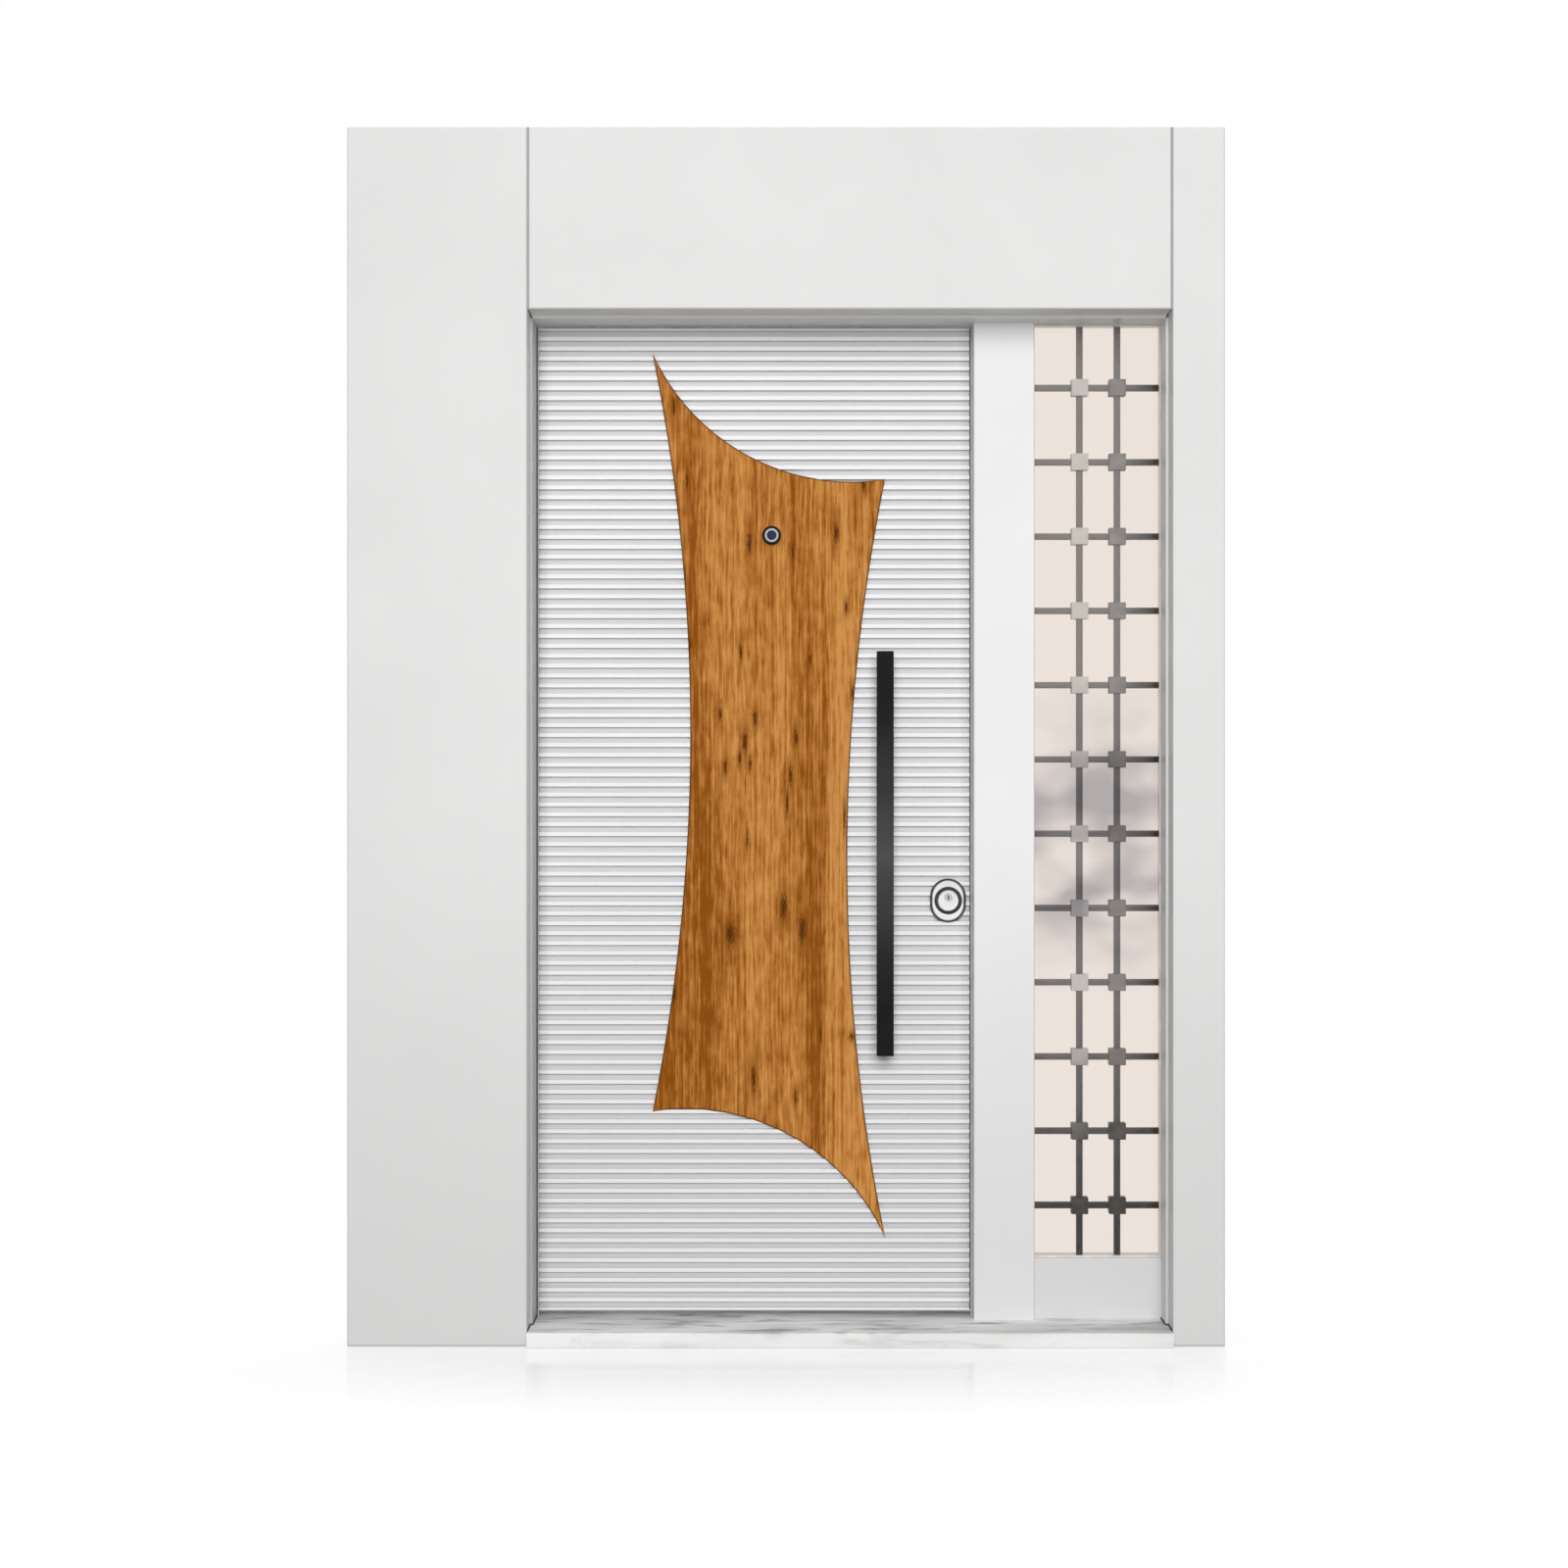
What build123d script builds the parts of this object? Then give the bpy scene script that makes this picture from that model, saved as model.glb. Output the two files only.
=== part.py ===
from build123d import *
import os

# Steel entrance door set: a fluted leaf with a curved timber inlay, a barred glass
# sidelight, a folded steel frame, sheet-metal facings and a marble threshold.
# Millimetres. X runs to the right seen from outside, Y into the house, Z up.
# The origin is on the underside of the threshold, in the plane of the wall face,
# at the middle of the clear opening.

# Clear opening
leaf_opening = 884.5
mullion_width = 122.0
sidelight_opening = 257.5
opening_height = 2038.0

# Marble threshold
threshold_thickness = 30.0
threshold_nosing = 15.0
stone_joint = 0.5

# Facings, folded from sheet and open at the back, on flat wall rails
left_facing_width = 355.0
right_facing_width = 103.0
head_facing_height = 359.0
facing_depth = 54.0
facing_sheet = 2.5
facing_edge_radius = 4.0
facing_joint = 3.0
side_margin = 5.0
head_margin = 8.0
rail_height = 40.0
rail_depth = 20.0
rail_clearance = 1.0
rail_inset = 180.0
side_rail_count = 4
head_rail_count = 3

# Frame, one folded profile round three sides
frame_sheet = 2.0
front_flange = 44.0
reveal_depth = 97.0
rebate_width = 17.0
frame_depth = 150.0
back_flange = 50.0
anchor_hole_radius = 3.5
anchor_hole_from_rebate = 30.0
anchor_first_height = 350.0
anchor_spacing = 1350.0
seal_width = 10.0
seal_thickness = 5.0

# Mullion and the panel below the sidelight
mullion_setback = 42.0
mullion_edge_radius = 3.0
panel_height = 122.0
panel_setback = 54.0
panel_depth = 56.0
panel_edge_radius = 2.0

# Sidelight glazing and grille
glass_setback = 68.0
glass_thickness = 8.0
glass_edge_gap = 2.0
gasket_width = 5.0
gasket_depth = 5.0
bead_width = 6.0
bead_depth = 6.0
bead_joint = 0.3
grille_gap = 1.0
grille_bar = 13.0
grille_first_upright = 96.0
grille_upright_pitch = 76.5
grille_upright_count = 2
grille_first_height = 101.0
grille_pitch = 151.0
knot_size = 34.0
knot_depth = 22.0

# Leaf
hinge_gap = 5.0
lock_gap = 9.5
head_gap = 5.0
sill_gap = 12.0
leaf_setback = 76.0
panel_thickness = 18.0
seal_space = 10.0
inner_panel_thickness = 12.0
inner_panel_margin = 9.0
inner_panel_edge_radius = 3.0
sweep_height = 7.0
sweep_thickness = 12.0

# Flutes across the front panel
flute_pitch = 20.1
flute_width = 12.5
flute_depth = 6.5

# Timber inlay, a curved blade turned half round on itself
inlay_width = 471.0
inlay_tip_rise = 896.0
inlay_shoulder_rise = 641.0
inlay_side_sagitta = 76.6
inlay_end_sagitta = 89.6
inlay_thickness = 10.0
inlay_proud = 2.0
inlay_clearance = 0.3
inlay_from_lock_edge = 403.8
inlay_centre_height = 1086.0

# Pull bar
pull_length = 812.0
pull_width = 34.0
pull_depth = 22.0
pull_edge = 2.0
pull_hand_gap = 38.0
pull_from_lock_edge = 170.0
pull_centre_height = 969.5
standoff_radius = 10.0
standoff_inset = 110.0

# Lock
lock_from_edge = 40.5
lock_height = 873.0
escutcheon_width = 76.0
escutcheon_height = 92.0
escutcheon_thickness = 8.0
escutcheon_edge = 2.5
collar_radius = 28.0
collar_thickness = 4.0
collar_clearance = 0.3
dome_radius = 21.0
dome_thickness = 7.0
dome_edge = 2.0
plug_radius = 7.6
plug_rise = 6.4
plug_length = 30.0
plug_proud = 0.8
plug_clearance = 0.1
plug_bore_clearance = 1.0
keyway_width = 2.6
keyway_height = 9.0
keyway_depth = 8.0
faceplate_width = 22.0
faceplate_height = 250.0
faceplate_thickness = 3.0
faceplate_above_lock = 45.0
bolt_radius = 7.0
bolt_pitch = 26.0
bolt_count = 3
bolt_length = 40.0
bolt_below_lock = 60.0
bolt_clearance = 0.3
latch_height = 26.0
latch_thickness = 12.0
strike_pocket_depth = 34.0

# Door viewer
viewer_left_of_middle = 11.6
viewer_height = 1613.0
viewer_flange_radius = 19.0
viewer_flange_thickness = 4.0
viewer_ring_radius = 13.5
viewer_ring_proud = 2.0
viewer_barrel_radius = 9.0
viewer_clearance = 0.3
viewer_eyepiece_radius = 14.0
viewer_eyepiece_thickness = 6.0
viewer_sight_radius = 4.0

# Handle on the inside
handle_plate_width = 46.0
handle_plate_height = 240.0
handle_plate_thickness = 7.0
handle_plate_edge = 2.0
lever_above_lock = 98.0
lever_neck_radius = 9.0
lever_hand_gap = 36.0
lever_length = 128.0
lever_height = 20.0
lever_thickness = 13.0
lever_edge_radius = 4.0
inner_cylinder_proud = 5.0

# Hinges
hinge_heights = (250.0, 1040.0, 1830.0)
hinge_axis_outside_rebate = 3.0
hinge_axis_behind_frame = 12.0
hinge_barrel_radius = 9.0
hinge_half_height = 55.0
hinge_pin_radius = 5.0
hinge_pin_length = 48.0
hinge_running_clearance = 0.08
hinge_washer_gap = 0.5
hinge_cap = 4.0
hinge_plate_thickness = 5.0
hinge_plate_length = 45.0
hinge_plate_clearance = 3.0

# Places that follow from the sizes above
clear_width = leaf_opening + mullion_width + sidelight_opening
x_left = -clear_width / 2
x_right = clear_width / 2
mullion_left = x_left + leaf_opening
mullion_right = mullion_left + mullion_width
z_floor = threshold_thickness
z_head = opening_height
facing_left = x_left - side_margin
facing_right = x_right + side_margin
facing_bottom = z_head + head_margin
facing_top = facing_bottom + head_facing_height

leaf_left = x_left + hinge_gap
leaf_right = mullion_left - lock_gap
leaf_bottom = z_floor + sill_gap
leaf_top = z_head - head_gap
panel_back = leaf_setback + panel_thickness
flange_front = reveal_depth + seal_space
flange_left = x_left - rebate_width + hinge_gap
flange_right = mullion_left + rebate_width - lock_gap
flange_top = z_head + rebate_width - head_gap
inner_panel_front = frame_depth - inner_panel_thickness
lock_x = leaf_right - lock_from_edge
lock_mid_y = (flange_front + inner_panel_front) / 2
lever_z = lock_height + lever_above_lock
plug_z = lock_height + plug_rise
inlay_x = leaf_right - inlay_from_lock_edge
inlay_front = leaf_setback - inlay_proud
escutcheon_front = leaf_setback - escutcheon_thickness
dome_front = escutcheon_front - dome_thickness
hinge_x = x_left - rebate_width - hinge_axis_outside_rebate
hinge_y = frame_depth + hinge_axis_behind_frame
sidelight_bottom = z_floor + panel_height
bead_front = glass_setback + glass_thickness
grille_y = bead_front + bead_depth + grille_gap + grille_bar / 2
bolt_heights = [lock_height - bolt_below_lock + i * bolt_pitch for i in range(bolt_count)]
anchor_heights = (anchor_first_height, anchor_first_height + anchor_spacing)


def block(x, y, z):
    """A box between two places on each axis."""
    centre = [(span[0] + span[1]) / 2 for span in (x, y, z)]
    return Pos(*centre) * Box(x[1] - x[0], y[1] - y[0], z[1] - z[0])


def rod(start, radius, length, direction):
    """A round bar from a start point along a direction."""
    return extrude(Plane(start, z_dir=direction) * Circle(radius), amount=length)


def prism(points, plane, length):
    """A closed outline on a plane, drawn out along the plane's normal."""
    outline = make_face(Polyline(*points, close=True))
    return extrude(plane * outline, amount=length, dir=plane.z_dir)


def front_edges(solid):
    """The edges round the face that looks out of the house."""
    return solid.faces().sort_by(Axis.Y)[0].edges()


def facing_tray(x, z):
    """A facing folded into a tray: rounded front edges, open towards the wall."""
    outer = block(x, (-facing_depth, 0), z)
    outer = fillet(front_edges(outer), facing_edge_radius)
    inner_x = (x[0] + facing_sheet, x[1] - facing_sheet)
    inner_z = (z[0] + facing_sheet, z[1] - facing_sheet)
    return outer - block(inner_x, (facing_sheet - facing_depth, 0), inner_z)


def spread(first, last, count):
    """Spans of one rail's height, evenly spread between two places and inset from both."""
    step = (last - first - 2 * rail_inset) / (count - 1)
    middles = [first + rail_inset + i * step for i in range(count)]
    return [(middle - rail_height / 2, middle + rail_height / 2) for middle in middles]


def side_rails(x):
    """Level rails inside a side facing, on the wall beside the frame's front flange."""
    y = (frame_sheet - rail_depth, frame_sheet)
    return Compound([block(x, y, span) for span in spread(0, facing_top, side_rail_count)])


def head_rails(x):
    """Upright rails inside the head facing, on the wall above the frame's front flange."""
    y = (frame_sheet - rail_depth, frame_sheet)
    z = (z_head + front_flange + rail_clearance, facing_top - facing_sheet)
    return Compound([block(span, y, z) for span in spread(x[0], x[1], head_rail_count)])


def frame_profile():
    """The folded section as (outward from the opening, depth) points."""
    rebate_inner = rebate_width + frame_sheet
    back_edge = rebate_width + back_flange
    return [
        (front_flange, 0),
        (0, 0),
        (0, reveal_depth),
        (rebate_width, reveal_depth),
        (rebate_width, frame_depth),
        (back_edge, frame_depth),
        (back_edge, frame_depth - frame_sheet),
        (rebate_inner, frame_depth - frame_sheet),
        (rebate_inner, reveal_depth - frame_sheet),
        (frame_sheet, reveal_depth - frame_sheet),
        (frame_sheet, frame_sheet),
        (front_flange, frame_sheet),
    ]


def frame_jamb(edge, side):
    """A jamb on the threshold, mitred to the head, with anchor holes in its back flange."""
    points = [(edge + side * out, depth) for out, depth in frame_profile()]
    top = z_head + rebate_width + back_flange
    jamb = prism(points, Plane.XY.offset(z_floor), top - z_floor)
    mitre = Plane((edge, 0, z_head), z_dir=(-side, 0, 1))
    jamb = split(jamb, bisect_by=mitre, keep=Keep.BOTTOM)
    hole_x = edge + side * (rebate_width + anchor_hole_from_rebate)
    for height in anchor_heights:
        jamb -= rod((hole_x, 0, height), anchor_hole_radius, 2 * frame_depth, (0, 1, 0))
    return jamb


def frame_head():
    """The head of the frame, mitred to both jambs."""
    reach = rebate_width + back_flange
    points = [(depth, z_head + out) for out, depth in frame_profile()]
    head = prism(points, Plane.YZ.offset(x_left - reach), clear_width + 2 * reach)
    for edge, side in ((x_left, -1), (x_right, 1)):
        mitre = Plane((edge, 0, z_head), z_dir=(-side, 0, 1))
        head = split(head, bisect_by=mitre, keep=Keep.TOP)
    return head


def threshold():
    """A marble slab: the front runs between the facings, the back passes under the frame."""
    front_x = (facing_left + stone_joint, facing_right - stone_joint)
    back_x = (x_left - front_flange, x_right + front_flange)
    z = (0, threshold_thickness)
    front = block(front_x, (-facing_depth - threshold_nosing, 0), z)
    return front + block(back_x, (0, frame_depth), z)


def mullion():
    """The post between leaf and sidelight, rebated for the leaf and stepped under the head."""
    step = mullion_left + rebate_width
    outline = [
        (mullion_left, mullion_setback),
        (mullion_right, mullion_setback),
        (mullion_right, frame_depth),
        (step, frame_depth),
        (step, reveal_depth),
        (mullion_left, reveal_depth),
    ]
    post = prism(outline, Plane.XY.offset(z_floor), z_head + rebate_width - z_floor)
    front = post.faces().sort_by(Axis.Y)[0]
    post = fillet(front.edges().filter_by(Axis.Z), mullion_edge_radius)
    head_room = (z_head, z_head + 2 * rebate_width)
    post -= block((mullion_left, mullion_right), (mullion_setback, reveal_depth), head_room)
    for pocket in lock_openings(step, strike_pocket_depth):
        post -= pocket
    return post - plate_seat(step, step + faceplate_thickness)


def plate_seat(x_from, x_to):
    """The recess, or the plate in it, that faces the lock edge."""
    middle = lock_height + faceplate_above_lock
    y = (lock_mid_y - faceplate_width / 2, lock_mid_y + faceplate_width / 2)
    z = (middle - faceplate_height / 2, middle + faceplate_height / 2)
    return block((x_from, x_to), y, z)


def lock_openings(x, depth):
    """The ways through which the bolts and the latch pass, from a face inwards."""
    ways = []
    for height in bolt_heights:
        ways.append(rod((x, lock_mid_y, height), bolt_radius + bolt_clearance, depth, (1, 0, 0)))
    half_y = latch_thickness / 2 + bolt_clearance
    half_z = latch_height / 2 + bolt_clearance
    y = (lock_mid_y - half_y, lock_mid_y + half_y)
    ways.append(block((x, x + depth), y, (lever_z - half_z, lever_z + half_z)))
    return ways


def strike_plate():
    """The keep in the mullion that takes the bolts and the latch."""
    face = mullion_left + rebate_width
    plate = plate_seat(face, face + faceplate_thickness)
    for way in lock_openings(face, faceplate_thickness):
        plate -= way
    return plate


def sidelight_panel():
    """The plain panel under the sidelight."""
    y = (panel_setback, panel_setback + panel_depth)
    panel = block((mullion_right, x_right), y, (z_floor, sidelight_bottom))
    front = panel.faces().sort_by(Axis.Y)[0]
    return fillet(front.edges().sort_by(Axis.Z)[-1], panel_edge_radius)


def sidelight_glass():
    """The pane, held between the gasket and the beads."""
    x = (mullion_right + glass_edge_gap, x_right - glass_edge_gap)
    z = (sidelight_bottom + glass_edge_gap, z_head - glass_edge_gap)
    return block(x, (glass_setback, bead_front), z)


def glazing_strips(width, y):
    """Four strips round the sidelight: two uprights with two rails between them."""
    inner = (mullion_right + width + bead_joint, x_right - width - bead_joint)
    z = (sidelight_bottom, z_head)
    return Compound([
        block((mullion_right, mullion_right + width), y, z),
        block((x_right - width, x_right), y, z),
        block(inner, y, (sidelight_bottom, sidelight_bottom + width)),
        block(inner, y, (z_head - width, z_head)),
    ])


def sidelight_grille():
    """Square bars behind the pane, fused at square knots."""
    half = grille_bar / 2
    y = (grille_y - half, grille_y + half)
    first = mullion_right + grille_first_upright
    uprights = [first + i * grille_upright_pitch for i in range(grille_upright_count)]
    base = sidelight_bottom + grille_first_height
    crossbars = 1 + int((z_head - knot_size / 2 - base) // grille_pitch)
    levels = [base + i * grille_pitch for i in range(crossbars)]
    pieces = [block((x - half, x + half), y, (sidelight_bottom, z_head)) for x in uprights]
    pieces += [block((mullion_right, x_right), y, (z - half, z + half)) for z in levels]
    knot = Box(knot_size, knot_depth, knot_size)
    pieces += [Pos(x, grille_y, z) * knot for x in uprights for z in levels]
    return pieces[0].fuse(*pieces[1:])


def frame_seal():
    """Rubber strips on the three faces that the leaf closes against."""
    y = (reveal_depth, reveal_depth + seal_thickness)
    inset = (rebate_width - seal_width) / 2
    z = (leaf_bottom, z_head)
    left = (x_left - inset - seal_width, x_left - inset)
    right = (mullion_left + inset, mullion_left + inset + seal_width)
    head = (z_head + inset, z_head + inset + seal_width)
    return Compound([
        block(left, y, z),
        block(right, y, z),
        block((x_left, mullion_left), y, head),
    ])


def inlay_outline(grow):
    """The inlay's face: four hollow arcs between the corners of a blade, widened by grow."""
    half = inlay_width / 2
    tip = (inlay_x - half, inlay_centre_height + inlay_tip_rise)
    shoulder = (inlay_x + half, inlay_centre_height + inlay_shoulder_rise)
    low_tip = (inlay_x + half, inlay_centre_height - inlay_tip_rise)
    low_shoulder = (inlay_x - half, inlay_centre_height - inlay_shoulder_rise)
    face = make_face([
        SagittaArc(tip, shoulder, -inlay_end_sagitta),
        SagittaArc(shoulder, low_tip, -inlay_side_sagitta),
        SagittaArc(low_tip, low_shoulder, -inlay_end_sagitta),
        SagittaArc(low_shoulder, tip, -inlay_side_sagitta),
    ])
    if grow:
        face = offset(face, grow, kind=Kind.INTERSECTION)
    return face


def upright_plane(y):
    """A drawing plane at a depth, with X to the right, Z up and its normal into the house."""
    return Plane((0, y, 0), x_dir=(1, 0, 0), z_dir=(0, -1, 0))


def inlay_solid(grow, y):
    """The inlay's outline between two depths."""
    drawing = upright_plane(y[0])
    return extrude(drawing * inlay_outline(grow), amount=y[1] - y[0], dir=(0, 1, 0))


def viewer_across():
    """The door viewer's place across the leaf, from the inlay's middle at its height."""
    band = Pos(inlay_x, viewer_height) * Rectangle(inlay_width, 2 * viewer_barrel_radius)
    return (inlay_outline(0) & band).center().X - viewer_left_of_middle


def viewer_bore():
    """The hole right through the leaf for the door viewer."""
    radius = viewer_barrel_radius + viewer_clearance
    return rod((viewer_across(), 0, viewer_height), radius, frame_depth, (0, 1, 0))


def plug_bore():
    """The roomy hole behind the lock's dome that the plug turns in."""
    radius = plug_radius + plug_bore_clearance
    reach = plug_length + plug_bore_clearance
    return rod((lock_x, dome_front, plug_z), radius, reach, (0, 1, 0))


def fluted_panel():
    """The front panel: level square flutes between narrow lands, and a pocket for the inlay."""
    height = leaf_top - leaf_bottom
    count = int(height // flute_pitch)
    start = leaf_bottom + (height - (count - 1) * flute_pitch) / 2
    deep = leaf_setback + flute_depth
    section = [(leaf_setback, leaf_bottom)]
    for i in range(count):
        middle = start + i * flute_pitch
        low = middle - flute_width / 2
        high = middle + flute_width / 2
        section += [(leaf_setback, low), (deep, low), (deep, high), (leaf_setback, high)]
    section += [(leaf_setback, leaf_top), (panel_back, leaf_top), (panel_back, leaf_bottom)]
    panel = prism(section, Plane.YZ.offset(leaf_left), leaf_right - leaf_left)
    pocket = (inlay_front, inlay_front + inlay_thickness)
    return panel - inlay_solid(inlay_clearance, pocket) - viewer_bore() - plug_bore()


def outer_tray():
    """The steel tray behind the front panel, as wide as the panel."""
    z = (leaf_bottom, leaf_top)
    tray = block((leaf_left, leaf_right), (panel_back, flange_front), z)
    return tray - viewer_bore() - plug_bore()


def inner_tray():
    """The wider steel tray that closes into the rebate and holds the bolts."""
    z = (leaf_bottom, flange_top)
    tray = block((flange_left, flange_right), (flange_front, inner_panel_front), z)
    tray -= plate_seat(flange_right - faceplate_thickness, flange_right)
    for way in lock_openings(flange_right - bolt_length, bolt_length):
        tray -= way
    return tray - viewer_bore()


def inner_panel():
    """The plain panel on the room side."""
    margin = inner_panel_margin
    x = (flange_left + margin, flange_right - margin)
    z = (leaf_bottom + margin, flange_top - margin)
    panel = block(x, (inner_panel_front, frame_depth), z)
    panel = fillet(panel.faces().sort_by(Axis.Y)[-1].edges(), inner_panel_edge_radius)
    return panel - viewer_bore()


def wood_inlay():
    """The timber blade in its pocket, drilled for the door viewer."""
    return inlay_solid(0, (inlay_front, inlay_front + inlay_thickness)) - viewer_bore()


def bottom_sweep():
    """The rubber strip under the leaf."""
    y = (lock_mid_y - sweep_thickness / 2, lock_mid_y + sweep_thickness / 2)
    return block((flange_left, flange_right), y, (leaf_bottom - sweep_height, leaf_bottom))


def lock_faceplate():
    """The plate on the edge of the leaf, with a way for each bolt."""
    plate = plate_seat(flange_right - faceplate_thickness, flange_right)
    for way in lock_openings(flange_right - faceplate_thickness, faceplate_thickness):
        plate -= way
    return plate


def lock_bolts():
    """The bolts and the latch, drawn back flush with the faceplate."""
    start = flange_right - bolt_length
    bolts = [rod((start, lock_mid_y, z), bolt_radius, bolt_length, (1, 0, 0)) for z in bolt_heights]
    y = (lock_mid_y - latch_thickness / 2, lock_mid_y + latch_thickness / 2)
    z = (lever_z - latch_height / 2, lever_z + latch_height / 2)
    bolts.append(block((start, flange_right), y, z))
    return Compound(bolts)


def pull_bar():
    """The long flat bar, with eased edges."""
    x = leaf_right - pull_from_lock_edge
    back = leaf_setback - pull_hand_gap
    half = pull_length / 2
    bar = block(
        (x - pull_width / 2, x + pull_width / 2),
        (back - pull_depth, back),
        (pull_centre_height - half, pull_centre_height + half),
    )
    return chamfer(bar.edges(), pull_edge)


def pull_standoffs():
    """The two round posts that carry the bar."""
    x = leaf_right - pull_from_lock_edge
    back = leaf_setback - pull_hand_gap
    reach = pull_length / 2 - standoff_inset
    heights = (pull_centre_height - reach, pull_centre_height + reach)
    return Compound([rod((x, back, z), standoff_radius, pull_hand_gap, (0, 1, 0)) for z in heights])


def lock_escutcheon():
    """The upright oval plate round the lock, eased at its front edge."""
    outline = SlotOverall(escutcheon_height, escutcheon_width, rotation=90)
    drawing = upright_plane(escutcheon_front)
    placed = drawing * Pos(lock_x, lock_height) * outline
    plate = extrude(placed, amount=escutcheon_thickness, dir=(0, 1, 0))
    plate = chamfer(front_edges(plate), escutcheon_edge)
    return plate - plug_bore()


def lock_collar():
    """The dark ring on the escutcheon, round the dome."""
    front = escutcheon_front - collar_thickness
    collar = rod((lock_x, front, lock_height), collar_radius, collar_thickness, (0, 1, 0))
    bore = dome_radius + collar_clearance
    return collar - rod((lock_x, front, lock_height), bore, collar_thickness, (0, 1, 0))


def lock_dome():
    """The round cover on the escutcheon, bored for the turning plug."""
    dome = rod((lock_x, dome_front, lock_height), dome_radius, dome_thickness, (0, 1, 0))
    dome = chamfer(front_edges(dome), dome_edge)
    bore = plug_radius + plug_clearance
    return dome - rod((lock_x, dome_front, plug_z), bore, dome_thickness, (0, 1, 0))


def lock_plug():
    """The part of the lock that the key turns, with its keyway."""
    front = dome_front - plug_proud
    plug = rod((lock_x, front, plug_z), plug_radius, plug_length, (0, 1, 0))
    keyway = block(
        (lock_x - keyway_width / 2, lock_x + keyway_width / 2),
        (front, front + keyway_depth),
        (plug_z - keyway_height / 2, plug_z + keyway_height / 2),
    )
    return plug - keyway


def viewer_flange():
    """The outer ring of the door viewer and its barrel, hollow for the lens."""
    x = viewer_across()
    front = inlay_front - viewer_flange_thickness
    ring_front = front - viewer_ring_proud
    flange = rod((x, front, viewer_height), viewer_flange_radius, viewer_flange_thickness, (0, 1, 0))
    flange += rod((x, ring_front, viewer_height), viewer_ring_radius, viewer_ring_proud, (0, 1, 0))
    flange += rod((x, front, viewer_height), viewer_barrel_radius, inner_panel_front - front, (0, 1, 0))
    sight = viewer_barrel_radius - viewer_clearance
    return flange - rod((x, ring_front, viewer_height), sight, viewer_flange_thickness, (0, 1, 0))


def viewer_lens():
    """The front lens, set in the mouth of the door viewer."""
    front = inlay_front - viewer_flange_thickness - viewer_ring_proud
    radius = viewer_barrel_radius - 2 * viewer_clearance
    return rod((viewer_across(), front, viewer_height), radius, viewer_flange_thickness, (0, 1, 0))


def viewer_eyepiece():
    """The eyepiece on the room side."""
    start = (viewer_across(), frame_depth, viewer_height)
    eyepiece = rod(start, viewer_eyepiece_radius, viewer_eyepiece_thickness, (0, 1, 0))
    return eyepiece - rod(start, viewer_sight_radius, viewer_eyepiece_thickness, (0, 1, 0))


def handle_plate():
    """The long plate on the room side that carries the lever and the end of the cylinder."""
    middle = (lock_height + lever_z) / 2
    plate = block(
        (lock_x - handle_plate_width / 2, lock_x + handle_plate_width / 2),
        (frame_depth, frame_depth + handle_plate_thickness),
        (middle - handle_plate_height / 2, middle + handle_plate_height / 2),
    )
    return chamfer(plate.faces().sort_by(Axis.Y)[-1].edges(), handle_plate_edge)


def inner_cylinder():
    """The end of the lock cylinder on the room side, with its keyway."""
    front = frame_depth + handle_plate_thickness
    end = rod((lock_x, front, plug_z), plug_radius, inner_cylinder_proud, (0, 1, 0))
    keyway = block(
        (lock_x - keyway_width / 2, lock_x + keyway_width / 2),
        (front + inner_cylinder_proud / 2, front + inner_cylinder_proud),
        (plug_z - keyway_height / 2, plug_z + keyway_height / 2),
    )
    return end - keyway


def inside_lever():
    """The lever on the room side: a round neck and a flat grip towards the hinges."""
    plate_front = frame_depth + handle_plate_thickness
    grip_y = (plate_front + lever_hand_gap, plate_front + lever_hand_gap + lever_thickness)
    grip = block(
        (lock_x - lever_length + lever_height / 2, lock_x + lever_height / 2),
        grip_y,
        (lever_z - lever_height / 2, lever_z + lever_height / 2),
    )
    grip = fillet(grip.edges().filter_by(Axis.X), lever_edge_radius)
    reach = lever_hand_gap + lever_thickness / 2
    return grip + rod((lock_x, plate_front, lever_z), lever_neck_radius, reach, (0, 1, 0))


def hinge_on_frame(height):
    """The lower half of a hinge: barrel, fixing plate and the pin it carries."""
    base = height - hinge_half_height
    z = (base, height)
    half = rod((hinge_x, hinge_y, base), hinge_barrel_radius, hinge_half_height, (0, 0, 1))
    web_x = (hinge_x - hinge_barrel_radius, hinge_x)
    half += block(web_x, (frame_depth, hinge_y), z)
    plate_y = (frame_depth, frame_depth + hinge_plate_thickness)
    half += block((hinge_x - hinge_plate_length, hinge_x), plate_y, z)
    return half + rod((hinge_x, hinge_y, height), hinge_pin_radius, hinge_pin_length, (0, 0, 1))


def hinge_on_leaf(height):
    """The upper half of a hinge: capped barrel over the pin, and its plate on the leaf."""
    base = height + hinge_washer_gap
    top = base + hinge_pin_length + hinge_cap
    z = (base, top)
    half = rod((hinge_x, hinge_y, base), hinge_barrel_radius, top - base, (0, 0, 1))
    plate_left = flange_left + inner_panel_margin + inner_panel_edge_radius
    web_y = (frame_depth + hinge_plate_clearance, hinge_y)
    half += block((hinge_x, plate_left + hinge_barrel_radius), web_y, z)
    plate_y = (frame_depth, frame_depth + hinge_plate_thickness)
    half += block((plate_left, plate_left + hinge_plate_length), plate_y, z)
    bore = hinge_pin_radius + hinge_running_clearance
    return half - rod((hinge_x, hinge_y, base), bore, hinge_pin_length, (0, 0, 1))


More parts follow.
